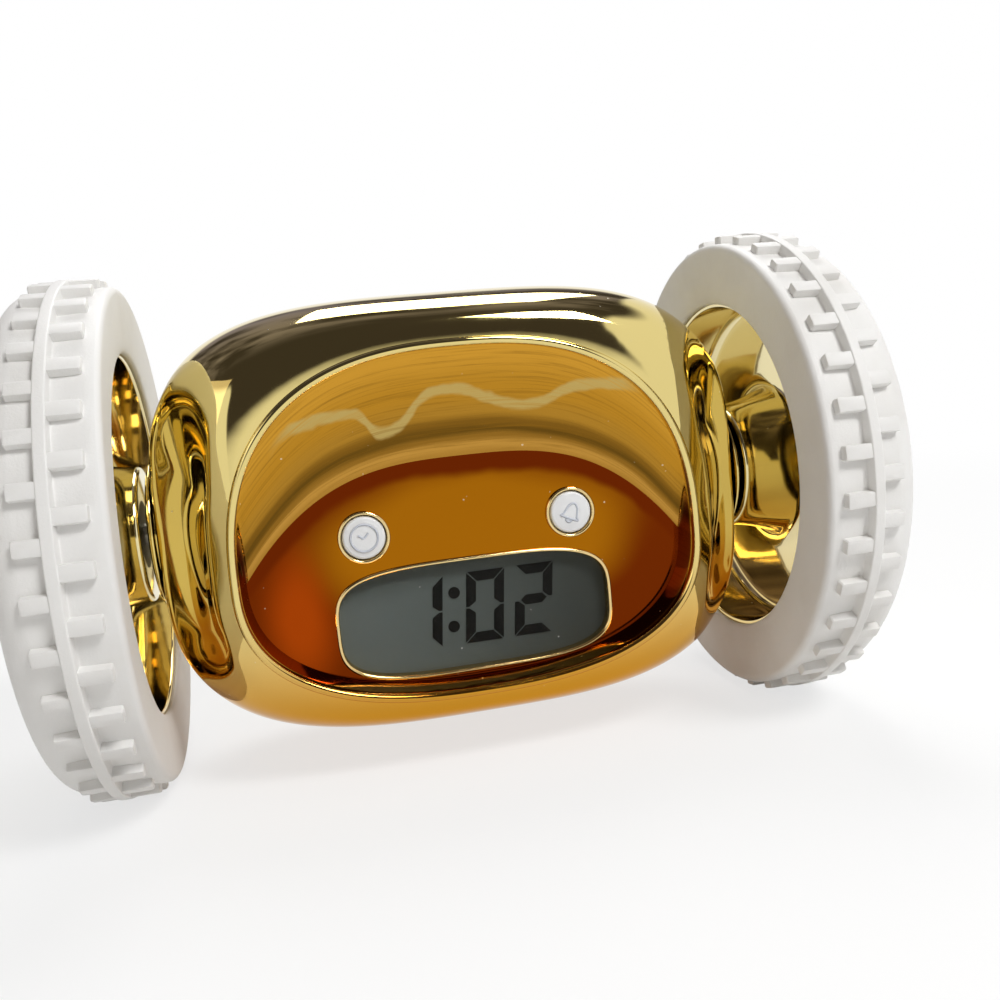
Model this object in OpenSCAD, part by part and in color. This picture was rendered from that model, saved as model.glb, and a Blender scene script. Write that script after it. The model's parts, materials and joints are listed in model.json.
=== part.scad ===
// Runaway alarm clock: a plated case slung between two driven wheels.
// X runs along the axle, the face looks towards -Y, Z is up and the floor is at z = 0.

/* [Wheels] */
// Diameter over the tyre's centre rib
wheel_d = 89; // [87:0.5:91]
// Distance from the middle of the clock to the middle of each tyre
wheel_x = 61.3; // [61.3:0.1:64]
// Width of the tyre at its widest
tyre_w = 19; // [18.5:0.1:19.5]
// Number of lugs on each side of the rib, a multiple of four
lug_count = 36; // [32:4:40]
// Width of a lug round the tyre
lug_w = 2.5; // [2:0.1:3]
// Height of the rib above the floor of the tread
rib_h = 1.5; // [1.2:0.1:1.8]

/* [Case] */
// Half width of the case at its parting line
case_hw = 52; // [51.5:0.1:52]
// Half height of the case at its parting line
case_hh = 37.7; // [37.3:0.1:38.5]
// Depth from the parting line to the front or the rear rim
case_depth = 21.5; // [21.5:0.1:22.5]
// Thickness of the case wall
wall = 1.8; // [1.6:0.1:2]

/* [Face] */
// Half width of the front rim
face_hw = 40.4; // [40:0.1:41]
// Height of the front rim's top above the axle
face_top = 28.7; // [28:0.1:29]
// Depth of the front rim's bottom below the axle
face_low = 31.7; // [31.5:0.1:32]
// Distance from the middle of the clock to each front button
button_x = 18.1; // [17.5:0.1:19]
// Radius of a front button
button_r = 3.65; // [3.5:0.05:3.7]
// Travel of every button
button_travel = 0.8; // [0.5:0.1:0.8]
// Half width of the display window
lcd_hw = 23.7; // [23:0.1:24]
// Half height of the display window
lcd_hh = 9.4; // [9:0.1:9.5]

/* [Drive] */
// Teeth on each small gear
pinion_teeth = 9; // [9:1:9]
// Teeth on each large gear
wheel_teeth = 45; // [45:1:45]
// Size of the gear teeth
gear_module = 0.5; // [0.5:0.01:0.5]
// Radius of the axle
axle_r = 2; // [1.9:0.05:2]

/* [Hidden] */

$fn = 64;
gold = [0.80, 0.62, 0.22];
amber = [0.85, 0.42, 0.06];
white = [0.93, 0.92, 0.90];
steel = [0.75, 0.75, 0.77];
board_green = [0.10, 0.34, 0.18];
dark = [0.16, 0.16, 0.17];
cream = [0.90, 0.87, 0.78];

axle_z = wheel_d / 2;
touch = 0.01;           // how deep a cutting tool passes a face
run = 0.05;             // radial clearance of a running fit
slip = 0.3;             // gap round a piece that lifts off

// Outline steps round a rim and steps from the parting line to a rim
ring_n = 72;
profile_n = 15;
case_power = 3.5;       // squareness of the parting line
shoulder_power = 2.6;   // squareness of the shoulder from the side
lip = 1.4;              // width of the rounded lip at a rim
lip_h = 0.6;            // how far the lip stands in front of the rim
ledge = 1;              // depth of the rebate behind the lip
scoop_corner = [0.98, 0.56];    // end band's front corner, as shares of width and depth
scoop_crease = [0.24, 0.94];    // crease beside the face rim, in the same shares
scoop_bow = [0.10, 0.055];      // how hollow the scoop is between the two

// A rim is [half width, top above centre, bottom below centre, centre height, squareness]
face_mid = -7.7;
face_rim = [face_hw, face_top - face_mid, face_low + face_mid, face_mid, 2.5];
rear_rim = [40, 30, 30, -2, 2.6];
edge_rim = [case_hw, case_hh, case_hh, 0, case_power];

// Levels through the depth, from the front
dish_edge_y = -(case_depth - ledge);
dish_floor_y = -17;
dish_back_y = -15.4;
board_front_y = -11.4;
board_t = 1.6;
chassis_t = 1.6;
chassis_front_y = board_front_y + board_t;
chassis_back_y = chassis_front_y + chassis_t;
panel_in_y = 19.3;
panel_out_y = 21.2;
rear_board_y = 13;
switch_h = 1.6;
plunger_h = 0.6;

button_z = -2.9;
lcd_z = -18.5;
lcd_power = 3.7;
lcd_frame_w = 0.7;
ring_w = 0.6;
ring_gap = 0.2;
post_r = 3;
post_low = [28.6, -20];
post_high = [13.1, 22.6];
screw_r = 0.9;
head_r = 2;
head_h = 0.9;
rear_button_x = 24;
rear_button_z = 12;
rear_button_r = 3.5;
speaker_z = 15.5;
speaker_r = 11.5;

// Battery compartment: four cells, two high and two deep
cell_r = 5.25;
cell_l = 44.5;
cell_pitch = 11;
bay_z = -14;
bay_y = 5;
bay_hw = 24;
bay_hh = 11.1;
bay_wall = 1.2;
door_hw = 25.1;
door_hh = 12.7;
door_t = 1.2;
door_tab_hw = 4.2;
screw_z = 0.8;
door_screw_r = 1;

// Gear train, in the plane across the axle
pressure_angle = 25;
pinion_r = pinion_teeth * gear_module / 2;
gear_r = wheel_teeth * gear_module / 2;
centre_distance = pinion_r + gear_r;
motor_angle = 132;
compound_at = [0, centre_distance];
motor_at = compound_at + centre_distance * [cos(motor_angle), sin(motor_angle)];
inner_plate_x = 31;
outer_plate_x = 43.5;
plate_t = 1.5;
output_x = 38;
output_w = 3.5;
compound_x = 33.5;
compound_w = 3;
motor_r = 6;
motor_l = 14.4;
pin_r = 1;
inner_axle_r = 1.5;

// Wheel
hub_seat_r = 33;
hub_in_x = wheel_x - 6.2;
hub_out_x = wheel_x + 6.2;
boss_in_x = 54.2;
cap_seat_x = 66.5;
cap_r = 7.5;
collar_x = case_hw + 0.05;
collar_t = 1.4;
collar_r = 13;
collar_bore_r = 9.4;
bush_r = 6;

function signed_power(v, p) = sign(v) * pow(abs(v), p);
function mix(a, b, t) = a * (1 - t) + b * t;
function smooth(t) = let (c = max(0, min(1, t))) c * c * (3 - 2 * c);

// Point on a squared oval in the plane of the face; rim as described above
function rim_point(rim, a, inset = 0) = [
    (rim[0] - inset) * signed_power(cos(a), 2 / rim[4]),
    rim[3] + ((sin(a) < 0 ? rim[2] : rim[1]) - inset) * signed_power(sin(a), 2 / rim[4])];
function rim_outline(rim, inset = 0) = [for (i = [0:ring_n - 1]) rim_point(rim, 360 * i / ring_n, inset)];

// Shares of width and depth along the shoulder, rounded over the top and under the case
function round_share(u) = [pow(cos(90 * u), 2 / shoulder_power), pow(sin(90 * u), 2 / shoulder_power)];
// The same along the hollowed sides, from the end band past the crease to the rim
corner_u = 1 / 3;
crease_u = 0.8;
function scoop_share(u) =
    u <= corner_u ? mix([1, 0], scoop_corner, u / corner_u) :
    u >= crease_u ? mix(scoop_crease, [0, 1], (u - crease_u) / (1 - crease_u)) :
    let (v = (u - corner_u) / (crease_u - corner_u))
    mix(scoop_corner, scoop_crease, v) - scoop_bow * sin(180 * v);
// How much of the side hollow a ring point has: all beside the axle, none at the top
hollow_full = 16;
hollow_none = 31.5;
function hollow(edge) = 1 - smooth((abs(edge[1]) - hollow_full) / (hollow_none - hollow_full));

function skin_point(rim, a, u, off) =
    let (edge = rim_point(edge_rim, a, off), inner = rim_point(rim, a))
    let (share = mix(round_share(u), scoop_share(u), hollow(edge)))
    let (p = mix(inner, edge, share[0]), deep = case_depth - off * 1.28)
    [p[0], -deep * share[1], p[1]];
function flat_ring(rim, inset, y) = [for (p = rim_outline(rim, inset)) [p[0], y, p[1]]];
function skin_ring(rim, u, off) = [for (i = [0:ring_n - 1]) skin_point(rim, 360 * i / ring_n, u, off)];

function join(lists) = [for (l = lists) for (p = l) p];

// Closed skin through rings of points; the last ring joins the first
module ring_solid(rings) {
    n = len(rings);
    m = len(rings[0]);
    faces = [for (j = [0:n - 1]) for (i = [0:m - 1])
        let (a = j * m + i, b = j * m + (i + 1) % m, k = (j + 1) % n)
        let (c = k * m + i, d = k * m + (i + 1) % m)
        each [[a, d, b], [a, c, d]]];
    polyhedron(points = join(rings), faces = faces, convexity = 6);
}

// Half of the case, rim towards -Y: outer skin, rounded lip, rebate and inner skin
module case_half(rim) {
    outer = [for (i = [0:profile_n]) skin_ring(rim, i / profile_n, 0)];
    edge = [flat_ring(rim, lip / 4, -case_depth - lip_h * 0.8),
        flat_ring(rim, lip / 2, -case_depth - lip_h),
        flat_ring(rim, lip * 3 / 4, -case_depth - lip_h * 0.8),
        flat_ring(rim, lip, -case_depth),
        flat_ring(rim, lip, dish_edge_y),
        flat_ring(rim, 0, dish_edge_y)];
    inner_steps = 9;
    inner = [for (i = [inner_steps:-1:0]) skin_ring(rim, i / inner_steps, wall)];
    ring_solid(concat(outer, edge, inner));
}

module axle_frame() {
    translate([0, 0, axle_z]) children();
}

// Right-hand pieces are drawn as they are, left-hand pieces mirrored across the middle
module on_side(s) {
    axle_frame() mirror([s < 0 ? 1 : 0, 0, 0]) children();
}

// Rod along X from x0 to x1 at a place [y, z] across the axle
module rod_x(x0, x1, r, at = [0, 0]) {
    translate([x0, at[0], at[1]]) rotate([0, 90, 0]) cylinder(h = x1 - x0, r = r);
}

// Rod along Y from y0 to y1 at a place [x, z]
module rod_y(y0, y1, r, at = [0, 0]) {
    translate([at[0], y1, at[1]]) rotate([90, 0, 0]) cylinder(h = y1 - y0, r = r);
}

// Flat shape drawn as [x, z], given thickness from y0 to y1
module plate_y(y0, y1) {
    translate([0, y1, 0]) rotate([90, 0, 0]) linear_extrude(y1 - y0) children();
}

// Flat shape drawn as [y, z], given thickness from x0 to x1
module plate_x(x0, x1) {
    translate([x0, 0, 0]) rotate([90, 0, 90]) linear_extrude(x1 - x0) children();
}

module turned_x(points, at = [0, 0]) {
    translate([0, at[0], at[1]]) rotate([0, 90, 0]) rotate_extrude($fn = 96) polygon(points);
}

module round_box(w, h, r) {
    square([w - 2 * r, h], center = true);
    square([w, h - 2 * r], center = true);
    for (x = [-1, 1], y = [-1, 1])
        translate([x * (w / 2 - r), y * (h / 2 - r)]) circle(r);
}

module case_bores() {
    bore_l = 30;
    for (s = [-1, 1])
        rod_x(s * 45 - bore_l / 2, s * 45 + bore_l / 2, collar_bore_r + run);
}

module front_shell() {
    color(gold) axle_frame() difference() {
        case_half(face_rim);
        case_bores();
    }
}

module rear_shell() {
    color(gold) axle_frame() difference() {
        mirror([0, 1, 0]) case_half(rear_rim);
        case_bores();
    }
}

// The dish floor: an arched brow above, and below it a curve that follows the rim
floor_inset = 2.4;
floor_corner_z = -8.2;
floor_rise = 17.3;
brow_power = 3;
corner_a = asin(pow((face_mid - floor_corner_z) / (face_rim[2] - floor_inset), face_rim[4] / 2));
floor_hw = rim_point(face_rim, -corner_a, floor_inset)[0];
function brow_point(a) =
    let (x = floor_hw * signed_power(cos(a), 2 / face_rim[4]))
    [x, floor_corner_z + floor_rise * (1 - pow(min(1, abs(x) / floor_hw), brow_power))];
function floor_point(a) = a <= 180 ? brow_point(a) :
    rim_point(face_rim, 180 + corner_a + (a - 180) * (180 - 2 * corner_a) / 180, floor_inset);
flange_gap = 0.1;
dish_steps = 7;
dish_bend = 1.15;
dish_inset = 1.5;
floor_lap = 0.97;       // how far out the floor plate reaches into the sloping border
function dish_ring(t, y0, y1) = [for (i = [0:ring_n - 1])
    let (a = 360 * i / ring_n)
    let (p = mix(rim_point(face_rim, a, dish_inset), floor_point(a), t))
    [p[0], mix(y0, y1, pow(t, dish_bend)), p[1]]];

// Sloping border of the dish, from the flange behind the lip down to the floor
module dish_border() {
    flange = lip - 0.2;
    front = [for (i = [0:dish_steps]) dish_ring(i / dish_steps, dish_edge_y, dish_floor_y)];
    back = [for (i = [dish_steps:-1:0])
        dish_ring(i / dish_steps, dish_edge_y + flange, dish_back_y)];
    ring_solid(concat([flat_ring(face_rim, flange_gap, dish_edge_y)], front, back,
        [flat_ring(face_rim, flange_gap, dish_edge_y + flange)]));
}

module lcd_outline(grow) {
    polygon(rim_outline([lcd_hw + grow, lcd_hh + grow, lcd_hh + grow, lcd_z, lcd_power]));
}

module face_panel() {
    color(amber) axle_frame() {
        dish_border();
        plate_y(dish_floor_y + touch, dish_back_y + touch) difference() {
            polygon([for (p = dish_ring(floor_lap, 0, 0)) [p[0], p[2]]]);
            lcd_outline(lcd_frame_w);
            for (s = [-1, 1])
                translate([s * button_x, button_z]) circle(button_r + ring_gap + ring_w);
        }
    }
}

module lcd_frame() {
    color(gold) axle_frame() plate_y(dish_floor_y - 0.6, dish_back_y) difference() {
        lcd_outline(lcd_frame_w);
        lcd_outline(0);
    }
}

module lcd_window() {
    color([0.36, 0.40, 0.40, 0.6]) axle_frame()
        plate_y(dish_floor_y - 0.1, dish_back_y) lcd_outline(0);
}

// Display glass on its elastomer connectors
module lcd_module() {
    glass_y = board_front_y - 1;
    glass_w = 51;
    glass_h = 21.5;
    strip_h = 2;
    color([0.45, 0.50, 0.49]) axle_frame() translate([0, 0, lcd_z]) {
        plate_y(dish_back_y + touch, glass_y) square([glass_w, glass_h], center = true);
        for (s = [-1, 1])
            plate_y(glass_y - touch, board_front_y)
                translate([0, s * (glass_h - strip_h) / 2]) square([glass_w - 4, strip_h], center = true);
    }
}

module button_rings() {
    color(gold) axle_frame() for (s = [-1, 1]) difference() {
        rod_y(dish_floor_y - 0.7, dish_back_y, button_r + ring_gap + ring_w, [s * button_x, button_z]);
        rod_y(dish_floor_y - 2, dish_back_y + 1, button_r + ring_gap, [s * button_x, button_z]);
    }
}

// Cap with a softened edge, a retaining flange and a back that presses a switch.
// It points along -Y with the visible face at the lowest y.
module push_button(r, front_y, flange_y, back_y, at) {
    soft = 0.4;
    crown = 0.15;
    flange_r = r + 0.75;
    length = back_y - front_y;
    translate([at[0], front_y, at[1]]) rotate([-90, 0, 0]) rotate_extrude() polygon([
        [0, 0], [r * 0.6, crown * 0.3], [r - soft, crown], [r - soft * 0.3, crown + soft * 0.3],
        [r, crown + soft], [r, flange_y - front_y], [flange_r, flange_y - front_y],
        [flange_r, length], [0, length]]);
}

front_flange_y = dish_back_y + 0.1;
front_back_y = board_front_y - switch_h - plunger_h - button_travel - 0.1;

module clock_button() {
    color(white) axle_frame()
        push_button(button_r, dish_floor_y - 0.9, front_flange_y, front_back_y, [-button_x, button_z]);
}

module alarm_button() {
    color(white) axle_frame()
        push_button(button_r, dish_floor_y - 0.9, front_flange_y, front_back_y, [button_x, button_z]);
}

// Circuit board behind the face
module display_board() {
    board_hw = 32;
    board_top = 5;
    board_low = -31;
    color(board_green) axle_frame() plate_y(board_front_y, board_front_y + board_t) difference() {
        translate([0, (board_top + board_low) / 2])
            round_box(2 * board_hw, board_top - board_low, 10);
        for (s = [-1, 1])
            translate([s * (board_hw - 3), board_top - 12]) circle(1.1);
    }
}

module switch_pair(x, z, board_y, dir) {
    body = 5;
    for (s = [-1, 1]) translate([s * x, board_y, z]) rotate([dir < 0 ? 90 : -90, 0, 0]) {
        translate([-body / 2, -body / 2, 0]) cube([body, body, switch_h]);
        cylinder(h = switch_h + plunger_h, r = 1.6);
    }
}

module front_switches() {
    color(dark) axle_frame() switch_pair(button_x, button_z, board_front_y, -1);
}

module rear_switches() {
    color(dark) axle_frame() switch_pair(rear_button_x, rear_button_z, rear_board_y + board_t, 1);
}

// Inner frame: plate behind the display board and four posts to the rear panel
module chassis() {
    chassis_hw = 33;
    tongue_hw = 15;
    color(dark) axle_frame() difference() {
        union() {
            plate_y(chassis_front_y, chassis_back_y) {
                translate([0, -10]) round_box(2 * chassis_hw, 40, 10);
                translate([0, 12]) round_box(2 * tongue_hw, 34, 3);
            }
            for (s = [-1, 1], p = [post_low, post_high])
                rod_y(chassis_front_y, panel_in_y, post_r, [s * p[0], p[1]]);
        }
        plate_y(chassis_front_y - 1, chassis_back_y + 1) translate([0, -14]) round_box(40, 16, 4);
        for (s = [-1, 1], p = [post_low, post_high])
            rod_y(panel_in_y - 12, panel_in_y + 1, screw_r, [s * p[0], p[1]]);
    }
}

module main_board() {
    board_hw = 30.5;
    board_low = 4;
    board_top = 29.6;
    chip_x = 20;
    chip = [8, 5, 2];
    color(board_green) axle_frame() {
        plate_y(rear_board_y, rear_board_y + board_t) difference() {
            translate([0, (board_low + board_top) / 2]) round_box(2 * board_hw, board_top - board_low, 3);
            translate([0, speaker_z]) circle(speaker_r + 0.6);
            for (s = [-1, 1])
                translate([s * post_high[0], post_high[1]]) circle(post_r + 0.4);
        }
        for (s = [-1, 1])
            plate_y(rear_board_y - chip[2], rear_board_y + touch)
                translate([s * chip_x, rear_button_z]) square([chip[0], chip[1]], center = true);
    }
}

module speaker() {
    back = 4.2;
    color(dark) axle_frame() translate([0, panel_in_y, speaker_z]) rotate([90, 0, 0])
        rotate_extrude() polygon([[0, 1.6], [4, 1], [9.6, 0.3], [10, 0], [speaker_r, 0],
            [speaker_r, 1.2], [9.6, 1.6], [6.5, back - 1.4], [6.5, back], [0, back]]);
}

door_low = bay_z - door_hh;
door_high = bay_z + door_hh;

module door_outline(grow) {
    translate([0, bay_z]) round_box(2 * (door_hw + grow), 2 * (door_hh + grow), 3);
    translate([0, door_high]) round_box(2 * (door_tab_hw + grow), 2 * (4.6 + grow), 2);
}

module rear_panel() {
    grille_pitch = 3.4;
    grille_r = 0.8;
    stub = [23, 20.5];
    boss_y = 13;
    color(gold) axle_frame() difference() {
        union() {
            plate_y(panel_in_y, panel_out_y) polygon(rim_outline(rear_rim, lip + 0.1));
            plate_y(panel_in_y, -dish_edge_y) polygon(rim_outline(rear_rim, flange_gap));
            rod_y(boss_y, panel_in_y + touch, 2.4, [0, screw_z]);
            for (s = [-1, 1])
                rod_y(rear_board_y + board_t, panel_in_y + touch, 1.6, [s * stub[0], stub[1]]);
        }
        plate_y(panel_out_y - door_t, panel_out_y + 1) door_outline(slip);
        plate_y(panel_in_y - 1, panel_out_y + 1)
            translate([0, bay_z]) square([2 * bay_hw - 1.2, 2 * bay_hh], center = true);
        rod_y(boss_y - 1, panel_out_y + 1, door_screw_r + run, [0, screw_z]);
        for (s = [-1, 1]) {
            rod_y(panel_in_y - 1, panel_out_y + 1, rear_button_r + ring_gap,
                [s * rear_button_x, rear_button_z]);
            for (p = [post_low, post_high]) {
                rod_y(panel_in_y - 1, panel_out_y + 1, screw_r + 0.2, [s * p[0], p[1]]);
                rod_y(panel_out_y - 0.1 - head_h, panel_out_y + 1, head_r + 0.2, [s * p[0], p[1]]);
            }
        }
        for (ring = [0:2], k = [0:max(0, 6 * ring - 1)]) {
            a = ring == 0 ? 0 : 360 * k / (6 * ring);
            rod_y(panel_in_y - 1, panel_out_y + 1, grille_r,
                [ring * grille_pitch * cos(a), speaker_z + ring * grille_pitch * sin(a)]);
        }
    }
}

// Cross-slot screw along Y, head towards +Y
module screw_y(head_y, head_r, head_h, shank_r, shank_l, at) {
    difference() {
        union() {
            rod_y(head_y - head_h, head_y, head_r, at);
            rod_y(head_y - head_h - shank_l, head_y - head_h + touch, shank_r, at);
        }
        for (t = [0, 90])
            translate([at[0], head_y, at[1]]) rotate([0, t, 0]) cube([0.5, 0.8, 2], center = true);
    }
}

module panel_screws() {
    color(steel) axle_frame() for (s = [-1, 1], p = [post_low, post_high])
        screw_y(panel_out_y - 0.1, head_r, head_h, screw_r, 11, [s * p[0], p[1]]);
}

rear_flange_y = panel_in_y - 0.1;
rear_back_y = rear_board_y + board_t + switch_h + plunger_h + button_travel + 0.1;

module rear_button(s) {
    color(white) axle_frame() mirror([0, 1, 0])
        push_button(rear_button_r, -panel_out_y - 0.7, -rear_flange_y, -rear_back_y,
            [s * rear_button_x, rear_button_z]);
}

module hour_button() {
    rear_button(1);
}

module minute_button() {
    rear_button(-1);
}

bay_front_y = bay_y - cell_pitch - 0.1;

module battery_box() {
    color(dark) axle_frame() difference() {
        translate([-bay_hw - bay_wall, bay_front_y - bay_wall, bay_z - bay_hh - bay_wall])
            cube([2 * (bay_hw + bay_wall), panel_in_y - bay_front_y + bay_wall,
                2 * (bay_hh + bay_wall)]);
        translate([-bay_hw, bay_front_y, bay_z - bay_hh])
            cube([2 * bay_hw, panel_in_y - bay_front_y + 1, 2 * bay_hh]);
    }
}

function cell_places() = [for (y = [-1, 1], z = [-1, 1])
    [bay_y + y * cell_pitch / 2, bay_z + z * cell_pitch / 2]];

module battery_contacts() {
    plate = 0.4;
    color(steel) axle_frame() for (s = [-1, 1], p = cell_places()) mirror([s < 0 ? 1 : 0, 0, 0]) {
        translate([bay_hw - plate, p[0] - 4, p[1] - 4]) cube([plate, 8, 8]);
        rod_x(cell_l / 2, bay_hw - plate + touch, 2.2, p);
    }
}

module battery_cells() {
    nub = 1.2;
    color([0.20, 0.30, 0.55]) axle_frame() for (p = cell_places()) {
        rod_x(-cell_l / 2, cell_l / 2 - nub, cell_r, p);
        rod_x(cell_l / 2 - nub - touch, cell_l / 2, 1.9, p);
    }
}

module battery_door() {
    rim = 1.2;
    grip_w = 14;
    color(gold) axle_frame() difference() {
        union() {
            plate_y(panel_out_y - door_t, panel_out_y) door_outline(0);
            plate_y(panel_in_y + 0.1, panel_out_y - door_t + touch)
                translate([0, bay_z]) square([2 * (bay_hw - 1.2), 2 * (bay_hh - 0.6)], center = true);
        }
        plate_y(panel_in_y - 1, panel_out_y - door_t)
            translate([0, bay_z])
                square([2 * (bay_hw - 1.2 - rim), 2 * (bay_hh - 0.6 - rim)], center = true);
        rod_y(panel_in_y, panel_out_y + 1, 1.1, [0, screw_z]);
        rod_y(panel_out_y - 0.7, panel_out_y + 1, 2.1, [0, screw_z]);
        for (k = [0:3])
            translate([-grip_w / 2, panel_out_y - 0.4, door_low + 3 + 1.6 * k]) cube([grip_w, 1, 0.7]);
    }
}

module door_screw() {
    color(steel) axle_frame()
        screw_y(panel_out_y - 0.05, 1.9, 0.6, door_screw_r, 6.4, [0, screw_z]);
}

// Flat shapes of the gearbox plates, drawn as [y, z]
spacer_r = 1.4;
spacers = [[11.6, 6.75], [11.6, -6.75]];

module arm_to(p, w) {
    rotate(atan2(p[1], p[0])) translate([0, -w / 2]) square([norm(p), w]);
}

// Both plates: axle, idler pin and the two spacers
module drive_plate_shape() {
    circle(6);
    arm_to(compound_at, 10);
    translate(compound_at) circle(5);
    for (p = spacers) {
        arm_to(p, 4);
        translate(p) circle(spacer_r);
    }
}

// The inner plate also carries the motor and reaches the inner frame
module motor_plate_shape() {
    drive_plate_shape();
    translate(motor_at) circle(motor_r + 1);
    translate(compound_at) arm_to(motor_at - compound_at, 8);
    translate([chassis_back_y, -6]) square([-chassis_back_y, 8]);
}

module gearbox(s) {
    outer_end_x = outer_plate_x + plate_t;
    color(cream) on_side(s) difference() {
        union() {
            plate_x(inner_plate_x, inner_plate_x + plate_t) motor_plate_shape();
            plate_x(outer_plate_x, outer_end_x) drive_plate_shape();
            for (p = spacers)
                rod_x(inner_plate_x, outer_end_x, spacer_r, p);
        }
        rod_x(inner_plate_x - 1, inner_plate_x + plate_t + 1, inner_axle_r + run);
        rod_x(outer_plate_x - 1, outer_end_x + 1, axle_r + run);
        rod_x(inner_plate_x - 1, inner_plate_x + plate_t + 1, pinion_r, motor_at);
        rod_x(inner_plate_x - 1, outer_end_x + 1, pin_r, compound_at);
    }
}

module gearbox_left() {
    gearbox(-1);
}

module gearbox_right() {
    gearbox(1);
}

module motor(s) {
    flat = 10;
    color(steel) on_side(s) difference() {
        intersection() {
            rod_x(inner_plate_x - motor_l, inner_plate_x, motor_r, motor_at);
            translate([inner_plate_x - motor_l - 1, motor_at[0] - flat / 2, motor_at[1] - motor_r - 1])
                cube([motor_l + 2, flat, 2 * motor_r + 2]);
        }
        rod_x(inner_plate_x - 8, inner_plate_x + 1, 0.5 + run, motor_at);
    }
}

module motor_left() {
    motor(-1);
}

module motor_right() {
    motor(1);
}

module gear_pin(s) {
    color(steel) on_side(s) rod_x(inner_plate_x, outer_plate_x + plate_t, pin_r, compound_at);
}

module gear_pin_left() {
    gear_pin(-1);
}

module gear_pin_right() {
    gear_pin(1);
}

// Plated ring that closes the case end round the bush
module side_collar(s) {
    color(gold) on_side(s) turned_x([
        [bush_r, case_hw - 4.5], [collar_bore_r, case_hw - 4.5], [collar_bore_r, collar_x],
        [collar_r, collar_x], [collar_r, collar_x + 0.3], [collar_r - 1, collar_x + 0.8],
        [collar_r - 3, collar_x + collar_t - 0.2], [bush_r, collar_x + collar_t]]);
}

module side_collar_left() {
    side_collar(-1);
}

module side_collar_right() {
    side_collar(1);
}

module axle_bush(s) {
    bush_in = case_hw - 6;
    color(cream) on_side(s) turned_x([
        [axle_r + run, bush_in], [bush_r + 2, bush_in], [bush_r + 2, case_hw - 4.5],
        [bush_r, case_hw - 4.5], [bush_r, collar_x + collar_t], [axle_r + run, collar_x + collar_t]]);
}

module axle_bush_left() {
    axle_bush(-1);
}

module axle_bush_right() {
    axle_bush(1);
}

// Involute gear with a tooth centred on the first axis
addendum = 0.8 * gear_module;
dedendum = 1.05 * gear_module;
thinning = 0.03;        // flank moved in, for backlash
deg = 180 / PI;
function involute(a) = tan(a) * deg - a;
function tooth_half_angle(teeth, r) =
    let (pitch = teeth * gear_module / 2)
    let (base = pitch * cos(pressure_angle))
    90 / teeth - thinning / pitch * deg + involute(pressure_angle)
        - (r > base ? involute(acos(base / r)) : 0);
function tooth_points(teeth, k, steps) =
    let (pitch = teeth * gear_module / 2)
    let (root = pitch - dedendum, tip = pitch + addendum)
    let (start = max(root, pitch * cos(pressure_angle)), mid = 360 * k / teeth)
    let (radii = concat(start > root ? [root] : [], [for (i = [0:steps]) mix(start, tip, i / steps)]))
    concat(
        [for (i = [0:len(radii) - 1])
            let (a = mid - tooth_half_angle(teeth, radii[i])) radii[i] * [cos(a), sin(a)]],
        [for (i = [len(radii) - 1:-1:0])
            let (a = mid + tooth_half_angle(teeth, radii[i])) radii[i] * [cos(a), sin(a)]]);

module gear_shape(teeth, turn, steps) {
    rotate(turn) polygon([for (k = [0:teeth - 1]) each tooth_points(teeth, k, steps)]);
}

tooth_pitch = 360 / wheel_teeth;

module output_gear(s) {
    color(white) on_side(s) difference() {
        union() {
            plate_x(output_x, output_x + output_w) gear_shape(wheel_teeth, 90 + tooth_pitch / 2, 3);
            rod_x(output_x - 0.6, outer_plate_x - 0.4, 4);
        }
        rod_x(output_x - 1, outer_plate_x + 1, axle_r);
        for (k = [0:4])
            rod_x(output_x - 1, output_x + output_w + 1, 2,
                7 * [cos(72 * k), sin(72 * k)]);
    }
}

module output_gear_left() {
    output_gear(-1);
}

module output_gear_right() {
    output_gear(1);
}

module compound_gear(s) {
    end_r = 1.6;
    color(white) on_side(s) difference() {
        union() {
            translate([0, compound_at[0], compound_at[1]]) {
                plate_x(compound_x, compound_x + compound_w)
                    gear_shape(wheel_teeth, motor_angle + tooth_pitch / 2, 3);
                plate_x(compound_x + compound_w - touch, output_x + output_w + 0.4)
                    gear_shape(pinion_teeth, 270, 4);
            }
            rod_x(inner_plate_x + plate_t + 0.3, outer_plate_x - 0.3, end_r, compound_at);
        }
        rod_x(inner_plate_x, outer_plate_x + 1, pin_r + run, compound_at);
    }
}

module compound_gear_left() {
    compound_gear(-1);
}

module compound_gear_right() {
    compound_gear(1);
}

module motor_pinion(s) {
    pinion_x = inner_plate_x + plate_t + 0.4;
    color(white) on_side(s) {
        translate([0, motor_at[0], motor_at[1]])
            plate_x(pinion_x, pinion_x + compound_w + 1.2)
                gear_shape(pinion_teeth, motor_angle + 180, 4);
        rod_x(inner_plate_x - 7, pinion_x + touch, 0.5, motor_at);
    }
}

module motor_pinion_left() {
    motor_pinion(-1);
}

module motor_pinion_right() {
    motor_pinion(1);
}

module axle_shaft(s) {
    color(steel) on_side(s) {
        rod_x(inner_plate_x - 0.6, output_x + touch, inner_axle_r);
        rod_x(output_x, cap_seat_x - 0.6, axle_r);
    }
}

module axle_shaft_left() {
    axle_shaft(-1);
}

module axle_shaft_right() {
    axle_shaft(1);
}

// Curve through a corner from p to r, with q as the corner
function bend(p, q, r, n) = [for (i = [0:n]) let (t = i / n)
    mix(mix(p, q, t), mix(q, r, t), t)];

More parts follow.
